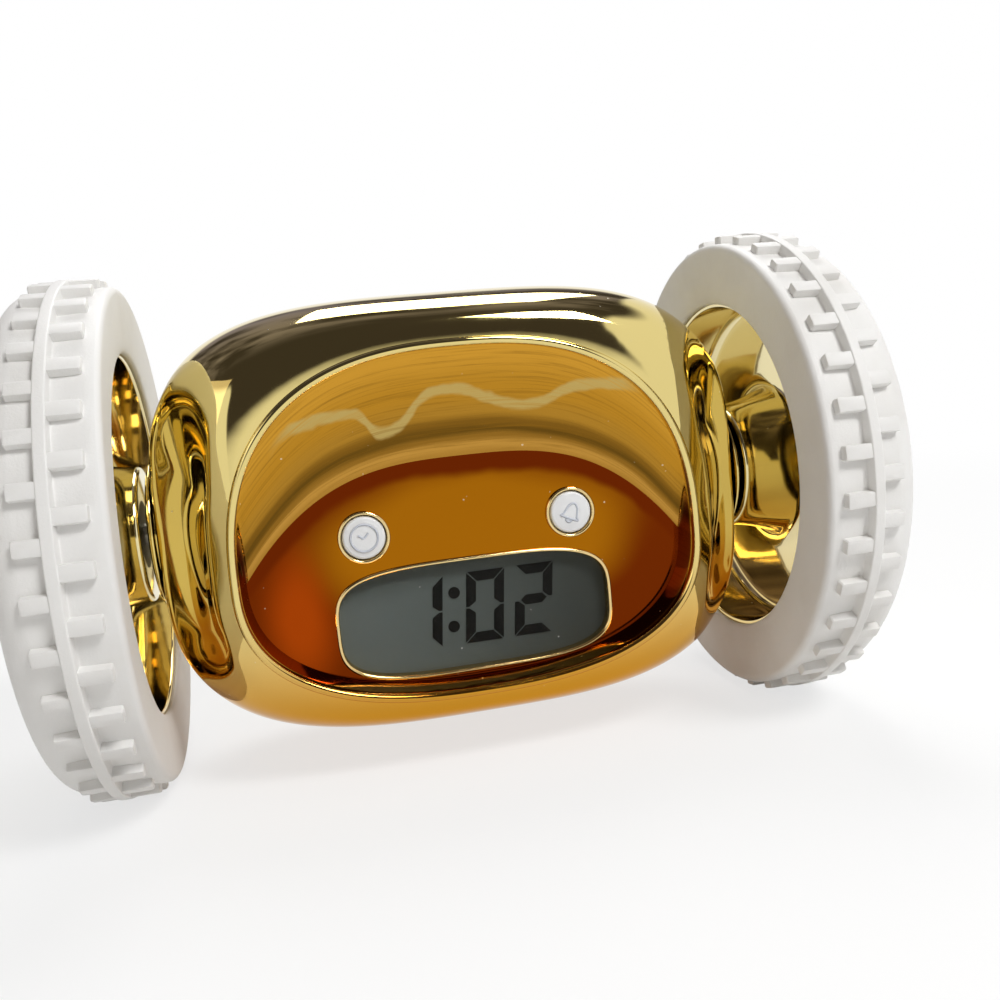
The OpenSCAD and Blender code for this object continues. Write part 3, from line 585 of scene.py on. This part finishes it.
def steelFinish(name, base, rough):
    finish, tree, shader = newFinish(name)
    marks = grouped(tree, handlingMarks, Roughness=rough, Smear=0.12, Smear_Scale=150.0, Dust=0.3)
    cloud = noise(tree, atPiece(tree), 220.0, 4.0)
    dim = colour(*[0.72 * v for v in base])
    tree.links.new(blended(tree, cloud, dim, colour(*base)), shader.inputs["Base Color"])
    tree.links.new(marks.outputs["Roughness"], shader.inputs["Roughness"])
    shader.inputs["Metallic"].default_value = 1.0
    raised(tree, shader, marks.outputs["Height"], 0.1, 0.0002)
    return finish


screwSteel = steelFinish("screwSteel", (0.66, 0.66, 0.67), 0.28)
speakerSteel = steelFinish("speakerSteel", (0.22, 0.22, 0.23), 0.4)


def displayFinish():
    # grey-green sheet with painted shade: darker to the right and under the upper edge
    finish, tree, shader = newFinish("displaySheet")
    where = atPiece(tree)
    axes = axesOf(tree, where)
    fine = noise(tree, where, 5200.0, 1.0)
    # painted shade under the upper edge and towards the right
    upper = stepped(tree, axes[2], 0.0275, 0.0355, 0.0, 0.6)
    right = stepped(tree, axes[0], -0.0240, 0.0300)
    shade = calc(tree, "MAXIMUM", upper, right)
    base = blended(tree, fine, colour(0.100, 0.118, 0.112), colour(0.125, 0.142, 0.134))
    dark = blended(tree, 1.0, base, colour(0.34, 0.32, 0.29), "MULTIPLY")
    tree.links.new(blended(tree, shade, base, dark), shader.inputs["Base Color"])
    shader.inputs["Roughness"].default_value = 0.45
    shader.inputs["Specular IOR Level"].default_value = 0.1
    raised(tree, shader, fine, 0.05, 0.0001)
    return finish


def lensFinish():
    finish, tree, shader = newFinish("displayLens")
    marks = grouped(tree, handlingMarks, Roughness=0.05, Smear=0.08, Smear_Scale=110.0, Dust=1.0)
    tree.links.new(blended(tree, marks.outputs["Dust"], colour(0.04, 0.05, 0.05), colour(0.7, 0.7, 0.66)),
                   shader.inputs["Base Color"])
    tree.links.new(marks.outputs["Roughness"], shader.inputs["Roughness"])
    tree.links.new(calc(tree, "MULTIPLY_ADD", marks.outputs["Dust"], 0.6, 0.02, clamp=True),
                   shader.inputs["Alpha"])
    shader.inputs["Specular IOR Level"].default_value = 0.05
    return finish


def inkFinish():
    finish, tree, shader = newFinish("segmentInk")
    fine = noise(tree, atPiece(tree), 3000.0, 2.0)
    tree.links.new(blended(tree, fine, colour(0.006, 0.006, 0.006), colour(0.016, 0.015, 0.013)),
                   shader.inputs["Base Color"])
    shader.inputs["Roughness"].default_value = 0.6
    shader.inputs["Specular IOR Level"].default_value = 0.02
    return finish


displaySheet = displayFinish()
displayLens = lensFinish()
segmentInk = inkFinish()
print("finishes ready")

# every carried-over solid takes the finish of its own slot
slotFinishes = {"gold_plate": caseGold, "amber_mirror": floorAmber, "display_window": displayLens,
                "display_glass": displaySheet, "white_button": capPlastic, "white_rubber": tyreRubber,
                "circuit_board": boardMask, "dark_plastic": blackPlastic, "gear_plastic": gearPlastic,
                "steel": screwSteel, "speaker_metal": speakerSteel, "cell_jacket": cellJacket}
for part in frame["record"]["subparts"]:
    solid = frame["nodes"].get(part["node"])
    if solid:
        for place in solid.material_slots:
            place.material = slotFinishes[part["material_slot"]]

case = {"halfWidth": 52.0, "halfHeight": 37.7, "power": 3.5, "depth": 21.5, "wall": 1.8, "lip": 1.4,
        "lipHeight": 0.6, "ledge": 1.0, "shoulderPower": 2.6, "corner": (0.98, 0.56),
        "crease": (0.24, 0.94), "bow": (0.10, 0.055), "cornerAt": 1 / 3, "creaseAt": 0.8,
        "hollowFull": 16.0, "hollowNone": 31.5, "ease": 0.035, "steps": 288, "profileSteps": 64,
        "innerSteps": 24, "lipSteps": 10, "boreRadius": 9.45, "insetShare": 1.28}
# rims are ovals with their own upper and lower reach about the height z
faceRim = {"halfWidth": 40.4, "top": 36.4, "bottom": 24.0, "z": -7.7, "power": 2.5}
rearRim = {"halfWidth": 40.0, "top": 30.0, "bottom": 30.0, "z": -2.0, "power": 2.6}
edgeRim = {"halfWidth": case["halfWidth"], "top": case["halfHeight"], "bottom": case["halfHeight"],
           "z": 0.0, "power": case["power"]}


def rimPoint(rim, degrees, inset=0.0):
    c, s = math.cos(math.radians(degrees)), math.sin(math.radians(degrees))
    reach = rim["bottom" if s < 0 else "top"] - inset
    power = 2 / rim["power"]
    return ((rim["halfWidth"] - inset) * signedPower(c, power), rim["z"] + reach * signedPower(s, power))


def roundShare(u):
    quarter = math.radians(90 * u)
    power = 2 / case["shoulderPower"]
    return (max(0.0, math.cos(quarter)) ** power, math.sin(quarter) ** power)


def creasedShare(u):
    if u <= case["cornerAt"]:
        return mixed((1.0, 0.0), case["corner"], u / case["cornerAt"])
    if u >= case["creaseAt"]:
        return mixed(case["crease"], (0.0, 1.0), (u - case["creaseAt"]) / (1 - case["creaseAt"]))
    v = (u - case["cornerAt"]) / (case["creaseAt"] - case["cornerAt"])
    x, y = mixed(case["corner"], case["crease"], v)
    sag = math.sin(math.pi * v)
    return (x - case["bow"][0] * sag, y - case["bow"][1] * sag)


def scoopShare(u):
    # the creases are eased by taking the mean over a short stretch
    ease = min(case["ease"], u, 1 - u)
    near = [creasedShare(u + ease * k / 4) for k in range(-4, 5)]
    return tuple(sum(p[axis] for p in near) / len(near) for axis in (0, 1))


def skinPoint(rim, degrees, u, inset):
    edge = rimPoint(edgeRim, degrees, inset)
    inner = rimPoint(rim, degrees)
    hollow = 1 - smoothed((abs(edge[1]) - case["hollowFull"]) / (case["hollowNone"] - case["hollowFull"]))
    share = mixed(roundShare(u), scoopShare(u), hollow)
    x, z = mixed(inner, edge, share[0])
    return (x, -(case["depth"] - case["insetShare"] * inset) * share[1], z)


def flatRing(rim, inset, y):
    return [(p[0], y, p[1]) for p in (rimPoint(rim, 360 * i / case["steps"], inset)
                                      for i in range(case["steps"]))]


def caseHalf(rim, facing):
    steps, n = case["steps"], case["profileSteps"]
    rings = [[skinPoint(rim, 360 * i / steps, j / n, 0.0) for i in range(steps)] for j in range(n + 1)]
    for k in range(1, case["lipSteps"]):      # rounded lip
        turn = math.pi * k / case["lipSteps"]
        rings.append(flatRing(rim, case["lip"] * (1 - math.cos(turn)) / 2,
                              -case["depth"] - case["lipHeight"] * math.sin(turn)))
    rings.append(flatRing(rim, case["lip"], -case["depth"]))
    rings.append(flatRing(rim, case["lip"], -case["depth"] + case["ledge"]))
    rings.append(flatRing(rim, 0.0, -case["depth"] + case["ledge"]))
    n = case["innerSteps"]
    rings += [[skinPoint(rim, 360 * i / steps, j / n, case["wall"]) for i in range(steps)]
              for j in range(n, -1, -1)]
    points, faces = ringSkin(rings)
    return [(x, facing * y, z) for x, y, z in points], faces


for name, rim, facing, node in (("frontCase", faceRim, 1, "front_shell"),
                                ("rearCase", rearRim, -1, "rear_shell")):
    half = makePiece(name, *caseHalf(rim, facing), caseGold, "case", [node], "gold_plate")
    boredThrough(half, case["boreRadius"])
print("case made")

face = {"floorY": -17.0, "backY": -15.4, "inset": 1.5, "floorInset": 2.4, "cornerZ": -8.2,
        "rise": 17.3, "browPower": 3.0, "bend": 1.15, "lap": 0.97, "flangeGap": 0.1, "steps": 40,
        "buttonX": 18.1, "buttonZ": -2.9, "buttonR": 3.65, "ringGap": 0.2, "ringW": 0.6,
        "frameW": 0.7, "frameRise": 0.6, "floorDrop": 0.01, "flangeEase": 0.2, "openingSteps": 96}
lcd = {"halfWidth": 23.7, "halfHeight": 9.4, "z": -18.5, "power": 3.7, "lensGrow": -0.02,
       "lensFront": -0.1, "lensBack": 0.7, "lensSoft": 0.12}
edgeY = -case["depth"] + case["ledge"]
cornerShare = (faceRim["z"] - face["cornerZ"]) / (faceRim["bottom"] - face["floorInset"])
cornerTurn = math.degrees(math.asin(cornerShare ** (faceRim["power"] / 2)))
floorHalfWidth = rimPoint(faceRim, -cornerTurn, face["floorInset"])[0]


def floorPoint(degrees):
    if degrees <= 180:
        x = floorHalfWidth * signedPower(math.cos(math.radians(degrees)), 2 / faceRim["power"])
        drop = min(1.0, abs(x) / floorHalfWidth) ** face["browPower"]
        return (x, face["cornerZ"] + face["rise"] * (1 - drop))
    turn = 180 + cornerTurn + (degrees - 180) * (180 - 2 * cornerTurn) / 180
    return rimPoint(faceRim, turn, face["floorInset"])


def dishRing(t, y0, y1):
    ring = []
    for i in range(case["steps"]):
        degrees = 360 * i / case["steps"]
        x, z = mixed(rimPoint(faceRim, degrees, face["inset"]), floorPoint(degrees), t)
        ring.append((x, mixed(y0, y1, t ** face["bend"]), z))
    return ring


def dishBorder():
    n = face["steps"]
    flange = case["lip"] - face["flangeEase"]
    rings = [flatRing(faceRim, face["flangeGap"], edgeY)]
    rings += [dishRing(i / n, edgeY, face["floorY"]) for i in range(n + 1)]
    rings += [dishRing(i / n, edgeY + flange, face["backY"]) for i in range(n, -1, -1)]
    rings.append(flatRing(faceRim, face["flangeGap"], edgeY + flange))
    return ringSkin(rings)


def ovalPath(grow, steps=160):
    rim = {"halfWidth": lcd["halfWidth"] + grow, "top": lcd["halfHeight"] + grow,
           "bottom": lcd["halfHeight"] + grow, "z": lcd["z"], "power": lcd["power"]}
    return [rimPoint(rim, 360 * i / steps) for i in range(steps)]


def dishFloor():
    # flat plate with the display and button openings, filled between its edges
    outer = [(p[0], p[2]) for p in dishRing(face["lap"], 0.0, 0.0)]
    holes = [ovalPath(face["frameW"])]
    for side in (-1, 1):
        holes.append(circlePath(side * face["buttonX"], face["buttonZ"],
                                face["buttonR"] + face["ringGap"] + face["ringW"], face["openingSteps"]))
    bm = bmesh.new()
    edges = []
    for loop in [outer] + holes:
        corners = [bm.verts.new((x, face["floorY"] + face["floorDrop"], z)) for x, z in loop]
        edges += [bm.edges.new((corners[i], corners[(i + 1) % len(corners)])) for i in range(len(corners))]
    bmesh.ops.triangle_fill(bm, use_beauty=True, use_dissolve=False, edges=edges)
    grown = bmesh.ops.extrude_face_region(bm, geom=list(bm.faces))
    moved = [v for v in grown["geom"] if isinstance(v, bmesh.types.BMVert)]
    bmesh.ops.translate(bm, vec=(0.0, face["backY"] - face["floorY"], 0.0), verts=moved)
    bm.verts.index_update()
    points = [tuple(v.co) for v in bm.verts]
    faces = [tuple(v.index for v in f.verts) for f in bm.faces]
    bm.free()
    return points, faces


makePiece("faceBorder", *dishBorder(), borderAmber, "case", ["face_panel"], "amber_mirror", sharp=30)
makePiece("faceFloor", *dishFloor(), floorAmber, "case", ["face_panel"], "amber_mirror", sharp=30)


def bezelBand():
    # closed band: [growth of the oval, depth] once round its section
    top = face["floorY"] - face["frameRise"]
    section = [(face["frameW"], face["backY"]), (face["frameW"], top + 0.28), (0.58, top + 0.08), (0.36, top),
               (0.14, top + 0.12), (0.0, top + 0.45), (0.0, face["backY"])]
    return ringSkin([[(x, y, z) for x, z in ovalPath(grow)] for grow, y in section])


makePiece("lcdBezel", *bezelBand(), trimGold, "case", ["lcd_frame"], "gold_plate", sharp=60)
lens = plate(ovalPath(lcd["lensGrow"]), face["floorY"] + lcd["lensFront"], face["floorY"] + lcd["lensBack"],
             lcd["lensSoft"])
makePiece("lcdLens", *lens, displayLens, "case", ["lcd_window"], "display_window", sharp=30)

digit = {"halfWidth": 3.4, "halfHeight": 6.3, "stroke": 1.75, "gap": 0.16, "front": -15.52, "back": -15.42,
         "tens": -9.3, "units": 1.7, "last": 10.55, "z": -17.75, "colonX": -3.85, "colonZ": (-14.75, -20.7),
         "dot": 1.02, "lean": 0.1}


def segment(which):
    w, h, t, g = digit["halfWidth"], digit["halfHeight"], digit["stroke"], digit["gap"]
    top = [(-w + g, h), (w - g, h), (w - t - g, h - t), (-w + t + g, h - t)]
    side = [(-w, h - g), (-w + t, h - t - g), (-w + t, t / 2 + g), (-w + 0.35 * t, g), (-w, g)]
    bar = [(-w + t / 2 + g, 0.0), (-w + t + g, t / 2), (w - t - g, t / 2), (w - t / 2 - g, 0.0),
           (w - t - g, -t / 2), (-w + t + g, -t / 2)]
    shapes = {"top": top, "low": [(x, -z) for x, z in top], "mid": bar,
              "leftHigh": side, "leftLow": [(x, -z) for x, z in side],
              "rightHigh": [(-x, z) for x, z in side], "rightLow": [(-x, -z) for x, z in side]}
    return shapes[which]


shown = {"tens": ["rightHigh", "rightLow"],
         "units": ["top", "low", "leftHigh", "leftLow", "rightHigh", "rightLow"],
         "last": ["top", "rightHigh", "mid", "leftLow", "low"]}
for cell, parts in shown.items():
    plates = []
    for which in parts:
        outline = [(x + digit["lean"] * z + digit[cell], z + digit["z"]) for x, z in segment(which)]
        plates.append(plate(outline, digit["front"], digit["back"]))
    makePiece("digit_" + cell, *joined(plates), segmentInk, "case", (), "display_glass", sharp=20)
dots = []
for z in digit["colonZ"]:
    dot = circlePath(digit["colonX"] + digit["lean"] * (z - digit["z"]), z, digit["dot"], 40)
    dots.append(plate(dot, digit["front"], digit["back"]))
makePiece("digit_colon", *joined(dots), segmentInk, "case", (), "display_glass", sharp=20)
print("face made")

button = {"soft": 0.45, "crown": 0.15, "flange": 0.75, "frontY": -17.9, "flangeY": -15.3,
          "backY": -14.55, "bead": 0.2, "steps": 96, "markRadius": 2.3, "markDepth": 0.04, "bellTilt": -24}
rearButton = {"x": 24.0, "z": 12.0, "radius": 3.5, "frontY": 21.9, "flangeY": 19.2, "backY": 17.7}


def capProfile(r, frontY, flangeY, backY, facing):
    # [radius, depth] from the middle of the face round the edge to the back
    points = [(0.0, 0.0), (r * 0.5, button["crown"] * 0.25), (r * 0.78, button["crown"] * 0.8)]
    points += bend((r - 1.6 * button["soft"], button["crown"]), (r, button["crown"]),
                   (r, button["crown"] + 1.6 * button["soft"]), 8)
    deep = abs(backY - frontY)
    flange = abs(flangeY - frontY)
    points += [(r, flange), (r + button["flange"], flange), (r + button["flange"], deep), (0.0, deep)]
    return [(radius, frontY + facing * depth) for radius, depth in points]


def turnedY(profile, cx, cz, steps, closed=False):
    points, faces = turned(profile, steps, closed=closed)
    return [(cx + y, x, cz + z) for x, y, z in points], faces


def clockMark(cx, cz, y):
    # clock face icon: a ring and two hands
    hour = [(cx - 0.05, cz - 0.05), (cx + 0.75, cz + 0.75)]
    minute = [(cx - 0.1, cz - 0.1), (cx - 1.0, cz + 0.55)]
    ring = bead(circlePath(cx, cz, button["markRadius"], 60), button["bead"], y)
    return [ring] + [bead(hand, button["bead"], y, closed=False) for hand in (hour, minute)]


def bellMark(cx, cz, y):
    # bell icon: dome, flared rim, base line and clapper, turned a little
    dome = [(-1.7, -1.05), (-1.25, -0.6), (-1.05, 0.2), (-0.85, 0.95), (-0.4, 1.5), (0.0, 1.68),
            (0.4, 1.5), (0.85, 0.95), (1.05, 0.2), (1.25, -0.6), (1.7, -1.05)]
    base = [(-1.7, -1.05), (0.0, -1.15), (1.7, -1.05)]
    clapper = circlePath(0.0, -1.2, 0.55, 9, 195.0, 150.0)
    tilt = math.radians(button["bellTilt"])
    lines = [[(cx + x * math.cos(tilt) - z * math.sin(tilt), cz + x * math.sin(tilt) + z * math.cos(tilt))
              for x, z in line] for line in (dome, base, clapper)]
    return [bead(line, button["bead"], y, closed=False) for line in lines]


for name, body, cx, mark in (("clockButton", "clock_button", -face["buttonX"], clockMark),
                             ("alarmButton", "alarm_button", face["buttonX"], bellMark)):
    profile = capProfile(face["buttonR"], button["frontY"], button["flangeY"], button["backY"], 1)
    cap = turnedY(profile, cx, face["buttonZ"], button["steps"])
    makePiece(name, *cap, capPlastic, body, [body], "white_button", sharp=50)
    lines = mark(cx, face["buttonZ"], button["frontY"] + button["markDepth"])
    makePiece(name + "Mark", *joined(lines), shadedMarkPlastic, body, (), "white_button", sharp=60)
for name, body, side in (("hourButton", "hour_button", 1), ("minuteButton", "minute_button", -1)):
    profile = capProfile(rearButton["radius"], rearButton["frontY"], rearButton["flangeY"],
                         rearButton["backY"], -1)
    cap = turnedY(profile, side * rearButton["x"], rearButton["z"], button["steps"])
    makePiece(name, *cap, capPlastic, body, [body], "white_button", sharp=50)

# [distance from the button's edge, depth] round the collar
collarRing = [(0.2, -15.4), (0.2, -17.4), (0.3, -17.62), (0.48, -17.7), (0.68, -17.62), (0.8, -17.4),
              (0.8, -15.4)]
ringProfile = [(face["buttonR"] + out, y) for out, y in collarRing]
collars = [turnedY(ringProfile, side * face["buttonX"], face["buttonZ"], button["steps"], closed=True)
           for side in (-1, 1)]
makePiece("buttonCollars", *joined(collars), trimGold, "case", ["button_rings"], "gold_plate", sharp=60)
print("buttons made")

wheel = {"x": 61.3, "radius": 44.5, "ribHeight": 1.5, "ribHalf": 0.9, "lugs": 36, "lugWidth": 2.5,
         "lugEnd": {1: 4.7, -1: 5.5}, "lugSoft": 0.34, "lugRoot": 1.0, "lugDrop": 0.2, "pocket": 0.35,
         "turned": {-1: 1.7, 1: -3.8}, "bead": 31.6, "seat": 6.2, "seatRadius": 33.0, "steps": 288}
hub = {"bore": 2.0, "innerX": 54.2, "boss": 12.0, "flare": 2.4, "flarePower": 1.8, "flareSteps": 24,
       "bossStart": 0.8, "bossLength": 9.5, "rim": 31.0, "flange": 33.0, "flangeX": 55.1, "outerX": 67.5,
       "pocket": 7.5, "pocketX": 68.2, "capX": 66.5, "cap": 7.4}


def tyreSection():
    # [radius, x] round the tyre; +x is the outer side, -x the flat side that faces the case
    low = wheel["radius"] - wheel["ribHeight"] - wheel["pocket"]
    rib = wheel["ribHalf"]
    mouth, seat = wheel["bead"], wheel["seat"]
    edge = bend((wheel["radius"], rib - 0.3), (wheel["radius"], rib), (wheel["radius"] - 0.3, rib + 0.03), 5)
    edge += bend((low + 0.3, rib + 0.15), (low, rib + 0.18), (low + 0.01, rib + 0.5), 4)
    outer = edge + bend((low + 0.2, 4.4), (42.5, 8.6), (37.6, 9.45), 24)
    outer += bend((36.6, 9.5), (33.4, 9.4), (mouth + 0.3, seat + 1.4), 18)
    outer += bend((mouth, seat + 0.9), (mouth, seat + 0.3), (mouth + 0.3, seat), 3)
    outer.append((wheel["seatRadius"], seat))
    inner = edge + [(low + 0.2, 5.6)] + bend((42.8, 6.9), (42.55, 7.65), (41.7, 7.75), 10)
    inner += bend((41.2, 7.75), (37.0, 7.65), (33.0, 7.3), 14)
    inner += bend((32.4, 7.22), (mouth, 7.1), (mouth, seat + 0.35), 6)
    inner += [(mouth + 0.15, seat), (wheel["seatRadius"], seat)]
    return [(r, x + wheel["x"]) for r, x in outer + [(r, -x) for r, x in reversed(inner)]]


def lugBlock(middle, row):
    # rounded block across the tread, drawn at the top of the wheel and turned to its place
    soft = wheel["lugSoft"]
    top = wheel["radius"] - wheel["lugDrop"]
    root = wheel["radius"] - wheel["ribHeight"] - wheel["lugRoot"]
    x0, x1 = row * (wheel["ribHalf"] - 0.3), row * wheel["lugEnd"][row]
    half = wheel["lugWidth"] / 2
    corner = soft * 0.6
    levels = [(root, 0.0), (top - soft, 0.0), (top - 0.3 * soft, 0.3 * soft), (top, soft)]
    points, faces = [], []
    for r, inset in levels:
        end = x1 - row * inset
        for x, y in ((x0, -half + inset), (end - row * corner, -half + inset), (end, -half + inset + corner),
                     (end, half - inset - corner), (end - row * corner, half - inset), (x0, half - inset)):
            turn = middle + y / wheel["radius"]
            points.append((wheel["x"] + x, r * math.sin(turn), r * math.cos(turn)))
    count = len(points) // len(levels)
    for j in range(len(levels) - 1):
        for i in range(count):
            n = (i + 1) % count
            faces.append((j * count + i, j * count + n, (j + 1) * count + n, (j + 1) * count + i))
    faces.append(tuple(range(count)))
    faces.append(tuple(range(len(points) - count, len(points))))
    return points, faces


def hubSection():
    # [radius, x] from the bore round the boss, the dish and its rim, and back over the outer face
    inX, rim, flangeX = hub["innerX"], hub["rim"], hub["flangeX"]
    section = [(hub["bore"], inX), (11.2, inX)] + bend((11.3, inX), (11.9, inX + 0.05), (12.0, inX + 0.7), 4)
    for i in range(hub["flareSteps"] + 1):
        share = i / hub["flareSteps"]
        section.append((hub["boss"] + hub["flare"] * share ** hub["flarePower"],
                        inX + hub["bossStart"] + hub["bossLength"] * share))
    section += bend((14.8, 65.2), (15.5, 66.0), (18.0, 66.0), 12)
    section += bend((28.6, 65.6), (rim, 65.4), (rim, 63.4), 12)
    section += bend((rim, flangeX + 0.5), (rim, flangeX), (rim + 0.5, flangeX), 4)
    section += [(hub["flange"], flangeX), (hub["flange"], hub["outerX"])]
    section += bend((31.4, hub["outerX"]), (30.4, hub["outerX"]), (30.0, 66.9), 8)
    section += bend((27.0, 67.0), (20.0, 67.2), (13.0, 67.6), 12)
    section += bend((11.0, 67.8), (9.4, hub["pocketX"]), (8.6, hub["pocketX"]), 8)
    section += [(hub["pocket"], hub["pocketX"]), (hub["pocket"], hub["capX"])]
    return section + [(hub["bore"], hub["capX"])]


def hubCapSection():
    crown = bend((hub["cap"], 68.3), (7.1, 69.2), (4.0, 69.5), 12)
    crown += bend((3.4, 69.52), (2.0, 69.7), (0.0, 69.7), 6)
    return [(0.0, hub["capX"]), (hub["cap"], hub["capX"])] + crown


smallSteps = 192      # round the caps and collars
collar = {"bore": 6.0, "sleeve": 9.4, "backX": 47.5, "seatX": 52.05, "frontX": 53.45}


def collarSection():
    section = [(collar["bore"], collar["backX"]), (collar["sleeve"], collar["backX"]),
               (collar["sleeve"], collar["seatX"])]
    section += bend((12.8, collar["seatX"]), (13.0, collar["seatX"]), (13.0, 52.3), 3)
    section += bend((12.6, 52.7), (10.6, collar["frontX"]), (6.4, collar["frontX"]), 12)
    return section + [(collar["bore"], collar["frontX"])]


for side, word in ((-1, "left"), (1, "right")):
    blocks = [turned(tyreSection(), wheel["steps"], side)]
    for row in (-1, 1):
        for k in range(wheel["lugs"]):
            turn = 2 * math.pi * (k + (0.5 if row > 0 else 0.0)) / wheel["lugs"]
            turn += math.radians(wheel["turned"][side])
            points, faces = lugBlock(turn, row)
            blocks.append(([(side * x, y, z) for x, y, z in points], faces))
    makePiece("tyre_" + word, *joined(blocks), tyreRubber, "wheel_" + word, ["tyre_" + word],
              "white_rubber", sharp=28)
    makePiece("hub_" + word, *turned(hubSection(), wheel["steps"], side), hubGold, "wheel_" + word,
              ["wheel_hub_" + word], "gold_plate", sharp=35)
    makePiece("hubCap_" + word, *turned(hubCapSection(), smallSteps, side, closed=False), hubGold,
              "wheel_" + word, ["hub_cap_" + word], "gold_plate", sharp=35)
    makePiece("collar_" + word, *turned(collarSection(), smallSteps, side), caseGold, "case",
              ["side_collar_" + word], "gold_plate", sharp=35)
print("wheels made")

view = {"place": (-0.02945, -0.1845, 0.06654), "ahead": (0.2044, 0.9710, -0.1241),
        "right": (0.9785, -0.2060, 0.0), "up": (0.0256, 0.1214, 0.9922), "roll": -5.41, "lens": 35.978}
ahead, right, up = (Vector(view[k]).normalized() for k in ("ahead", "right", "up"))
roll = math.radians(view["roll"])
acrossAxis = math.cos(roll) * right + math.sin(roll) * up
upAxis = -math.sin(roll) * right + math.cos(roll) * up
cameraData = bpy.data.cameras.new("photoView")
cameraData.lens = view["lens"]
cameraData.sensor_width = 36.0
cameraData.clip_start = 0.005
camera = placed("photoView", cameraData)
turnMatrix = Matrix((acrossAxis, upAxis, -ahead)).transposed().to_4x4()
camera.matrix_world = Matrix.Translation(Vector(view["place"])) @ turnMatrix
bpy.context.scene.camera = camera

studio = {"floorHalf": 6.0, "near": 0.17, "far": 0.5, "leastGlow": 0.7, "air": 0.21, "aim": (0.0, 0.0, 0.04)}
lamps = {
    "keyLamp": {"place": (0.30, -0.48, 0.62), "size": (0.24, 0.24), "watts": 4.2, "tint": (1.0, 1.0, 1.0)},
    "fillLamp": {"place": (-0.72, -0.46, 0.42), "size": (0.5, 0.4), "watts": 0.5, "tint": (1.0, 0.86, 0.68)},
    "topLamp": {"place": (0.12, 0.38, 0.74), "size": (0.45, 0.45), "watts": 3.6, "tint": (1.0, 1.0, 1.0)}}
# where the white horizon rises: direction from and to, then height from and to
sky = {"side": (0.38, 0.52, 0.0, 0.42), "right": (0.44, 0.58, 0.0, 0.26),
       "rear": (-0.30, 0.20, -0.04, 0.36), "shownSkirt": 0.40, "ceilingSoft": 0.10,
       "dark": (0.055, 0.048, 0.050), "patch": (0.27, 0.25, 0.34)}


def seenBy(tree):
    # 1 for what the camera, mirrors and glass see, 0 for the light that falls on the clock
    path = tree.nodes.new("ShaderNodeLightPath")
    seen = calc(tree, "MAXIMUM", path.outputs["Is Camera Ray"], path.outputs["Is Glossy Ray"])
    return calc(tree, "MAXIMUM", seen, path.outputs["Is Transmission Ray"])


def layFloor():
    finish, tree, shader = newFinish("paleFloor")
    tree.nodes.remove(shader)
    out = tree.nodes["Material Output"]
    where = tree.nodes.new("ShaderNodeNewGeometry").outputs["Position"]
    axes = axesOf(tree, where)
    far = reachOf(tree, axes[0], axes[1])
    fade = stepped(tree, far, studio["near"], studio["far"], studio["leastGlow"], 1.0)
    fade = calc(tree, "MULTIPLY", fade, seenBy(tree))
    matt = tree.nodes.new("ShaderNodeBsdfDiffuse")
    cloth = noise(tree, where, 14.0, 2.0)
    tree.links.new(blended(tree, cloth, colour(0.86, 0.86, 0.86), colour(0.89, 0.89, 0.885)),
                   matt.inputs["Color"])
    glow = tree.nodes.new("ShaderNodeEmission")
    glow.inputs["Strength"].default_value = 1.0
    mix = tree.nodes.new("ShaderNodeMixShader")
    tree.links.new(fade, mix.inputs[0])
    tree.links.new(matt.outputs[0], mix.inputs[1])
    tree.links.new(glow.outputs[0], mix.inputs[2])
    tree.links.new(mix.outputs[0], out.inputs["Surface"])
    half = studio["floorHalf"]
    mesh = bpy.data.meshes.new("studioFloor")
    mesh.from_pydata([(-half, -half, 0.0), (half, -half, 0.0), (half, half, 0.0), (-half, half, 0.0)], [],
                     [(0, 1, 2, 3)])
    mesh.materials.append(finish)
    placed("studioFloor", mesh)


def hangLamp(name, lamp):
    data = bpy.data.lights.new(name, "AREA")
    data.shape = "RECTANGLE"
    data.size, data.size_y = lamp["size"]
    data.energy = lamp["watts"]
    data.color = lamp["tint"]
    hung = placed(name, data)
    hung.location = lamp["place"]
    ray = Vector(studio["aim"]) - Vector(lamp["place"])
    hung.rotation_euler = ray.to_track_quat("-Z", "Y").to_euler()


def paintSky():
    # plain light on the clock; mirrors see a dark upper part over a white horizon that rises at the sides
    world = bpy.data.worlds.new("studioSky")
    bpy.context.scene.world = world
    world.use_nodes = True
    tree = world.node_tree
    back = tree.nodes["Background"]
    facing = tree.nodes.new("ShaderNodeTexCoord").outputs["Generated"]
    across, deep, high = axesOf(tree, facing)
    path = tree.nodes.new("ShaderNodeLightPath")
    sideways = stepped(tree, calc(tree, "ABSOLUTE", across), *sky["side"])
    rightward = stepped(tree, across, *sky["right"])
    rear = stepped(tree, deep, *sky["rear"])
    skirt = calc(tree, "MAXIMUM", calc(tree, "ADD", sideways, rightward), rear)
    shown = calc(tree, "MULTIPLY", path.outputs["Is Camera Ray"], sky["shownSkirt"])
    skirt = calc(tree, "MAXIMUM", skirt, shown)
    ceiling = stepped(tree, high, skirt, calc(tree, "ADD", skirt, sky["ceilingSoft"]))
    patchy = stepped(tree, noise(tree, facing, 2.3, 3.0), 0.42, 0.62)
    behind = stepped(tree, deep, -0.55, 0.15)
    upper = blended(tree, calc(tree, "MULTIPLY", patchy, behind), colour(*sky["dark"]), colour(*sky["patch"]))
    seen = blended(tree, ceiling, colour(1.0, 1.0, 1.0), upper)
    air = colour(studio["air"], studio["air"], studio["air"])
    tree.links.new(blended(tree, seenBy(tree), air, seen), back.inputs["Color"])
    back.inputs["Strength"].default_value = 1.0


layFloor()
for name, lamp in lamps.items():
    hangLamp(name, lamp)
paintSky()
bpy.context.scene.view_settings.view_transform = "Standard"
print("studio ready")
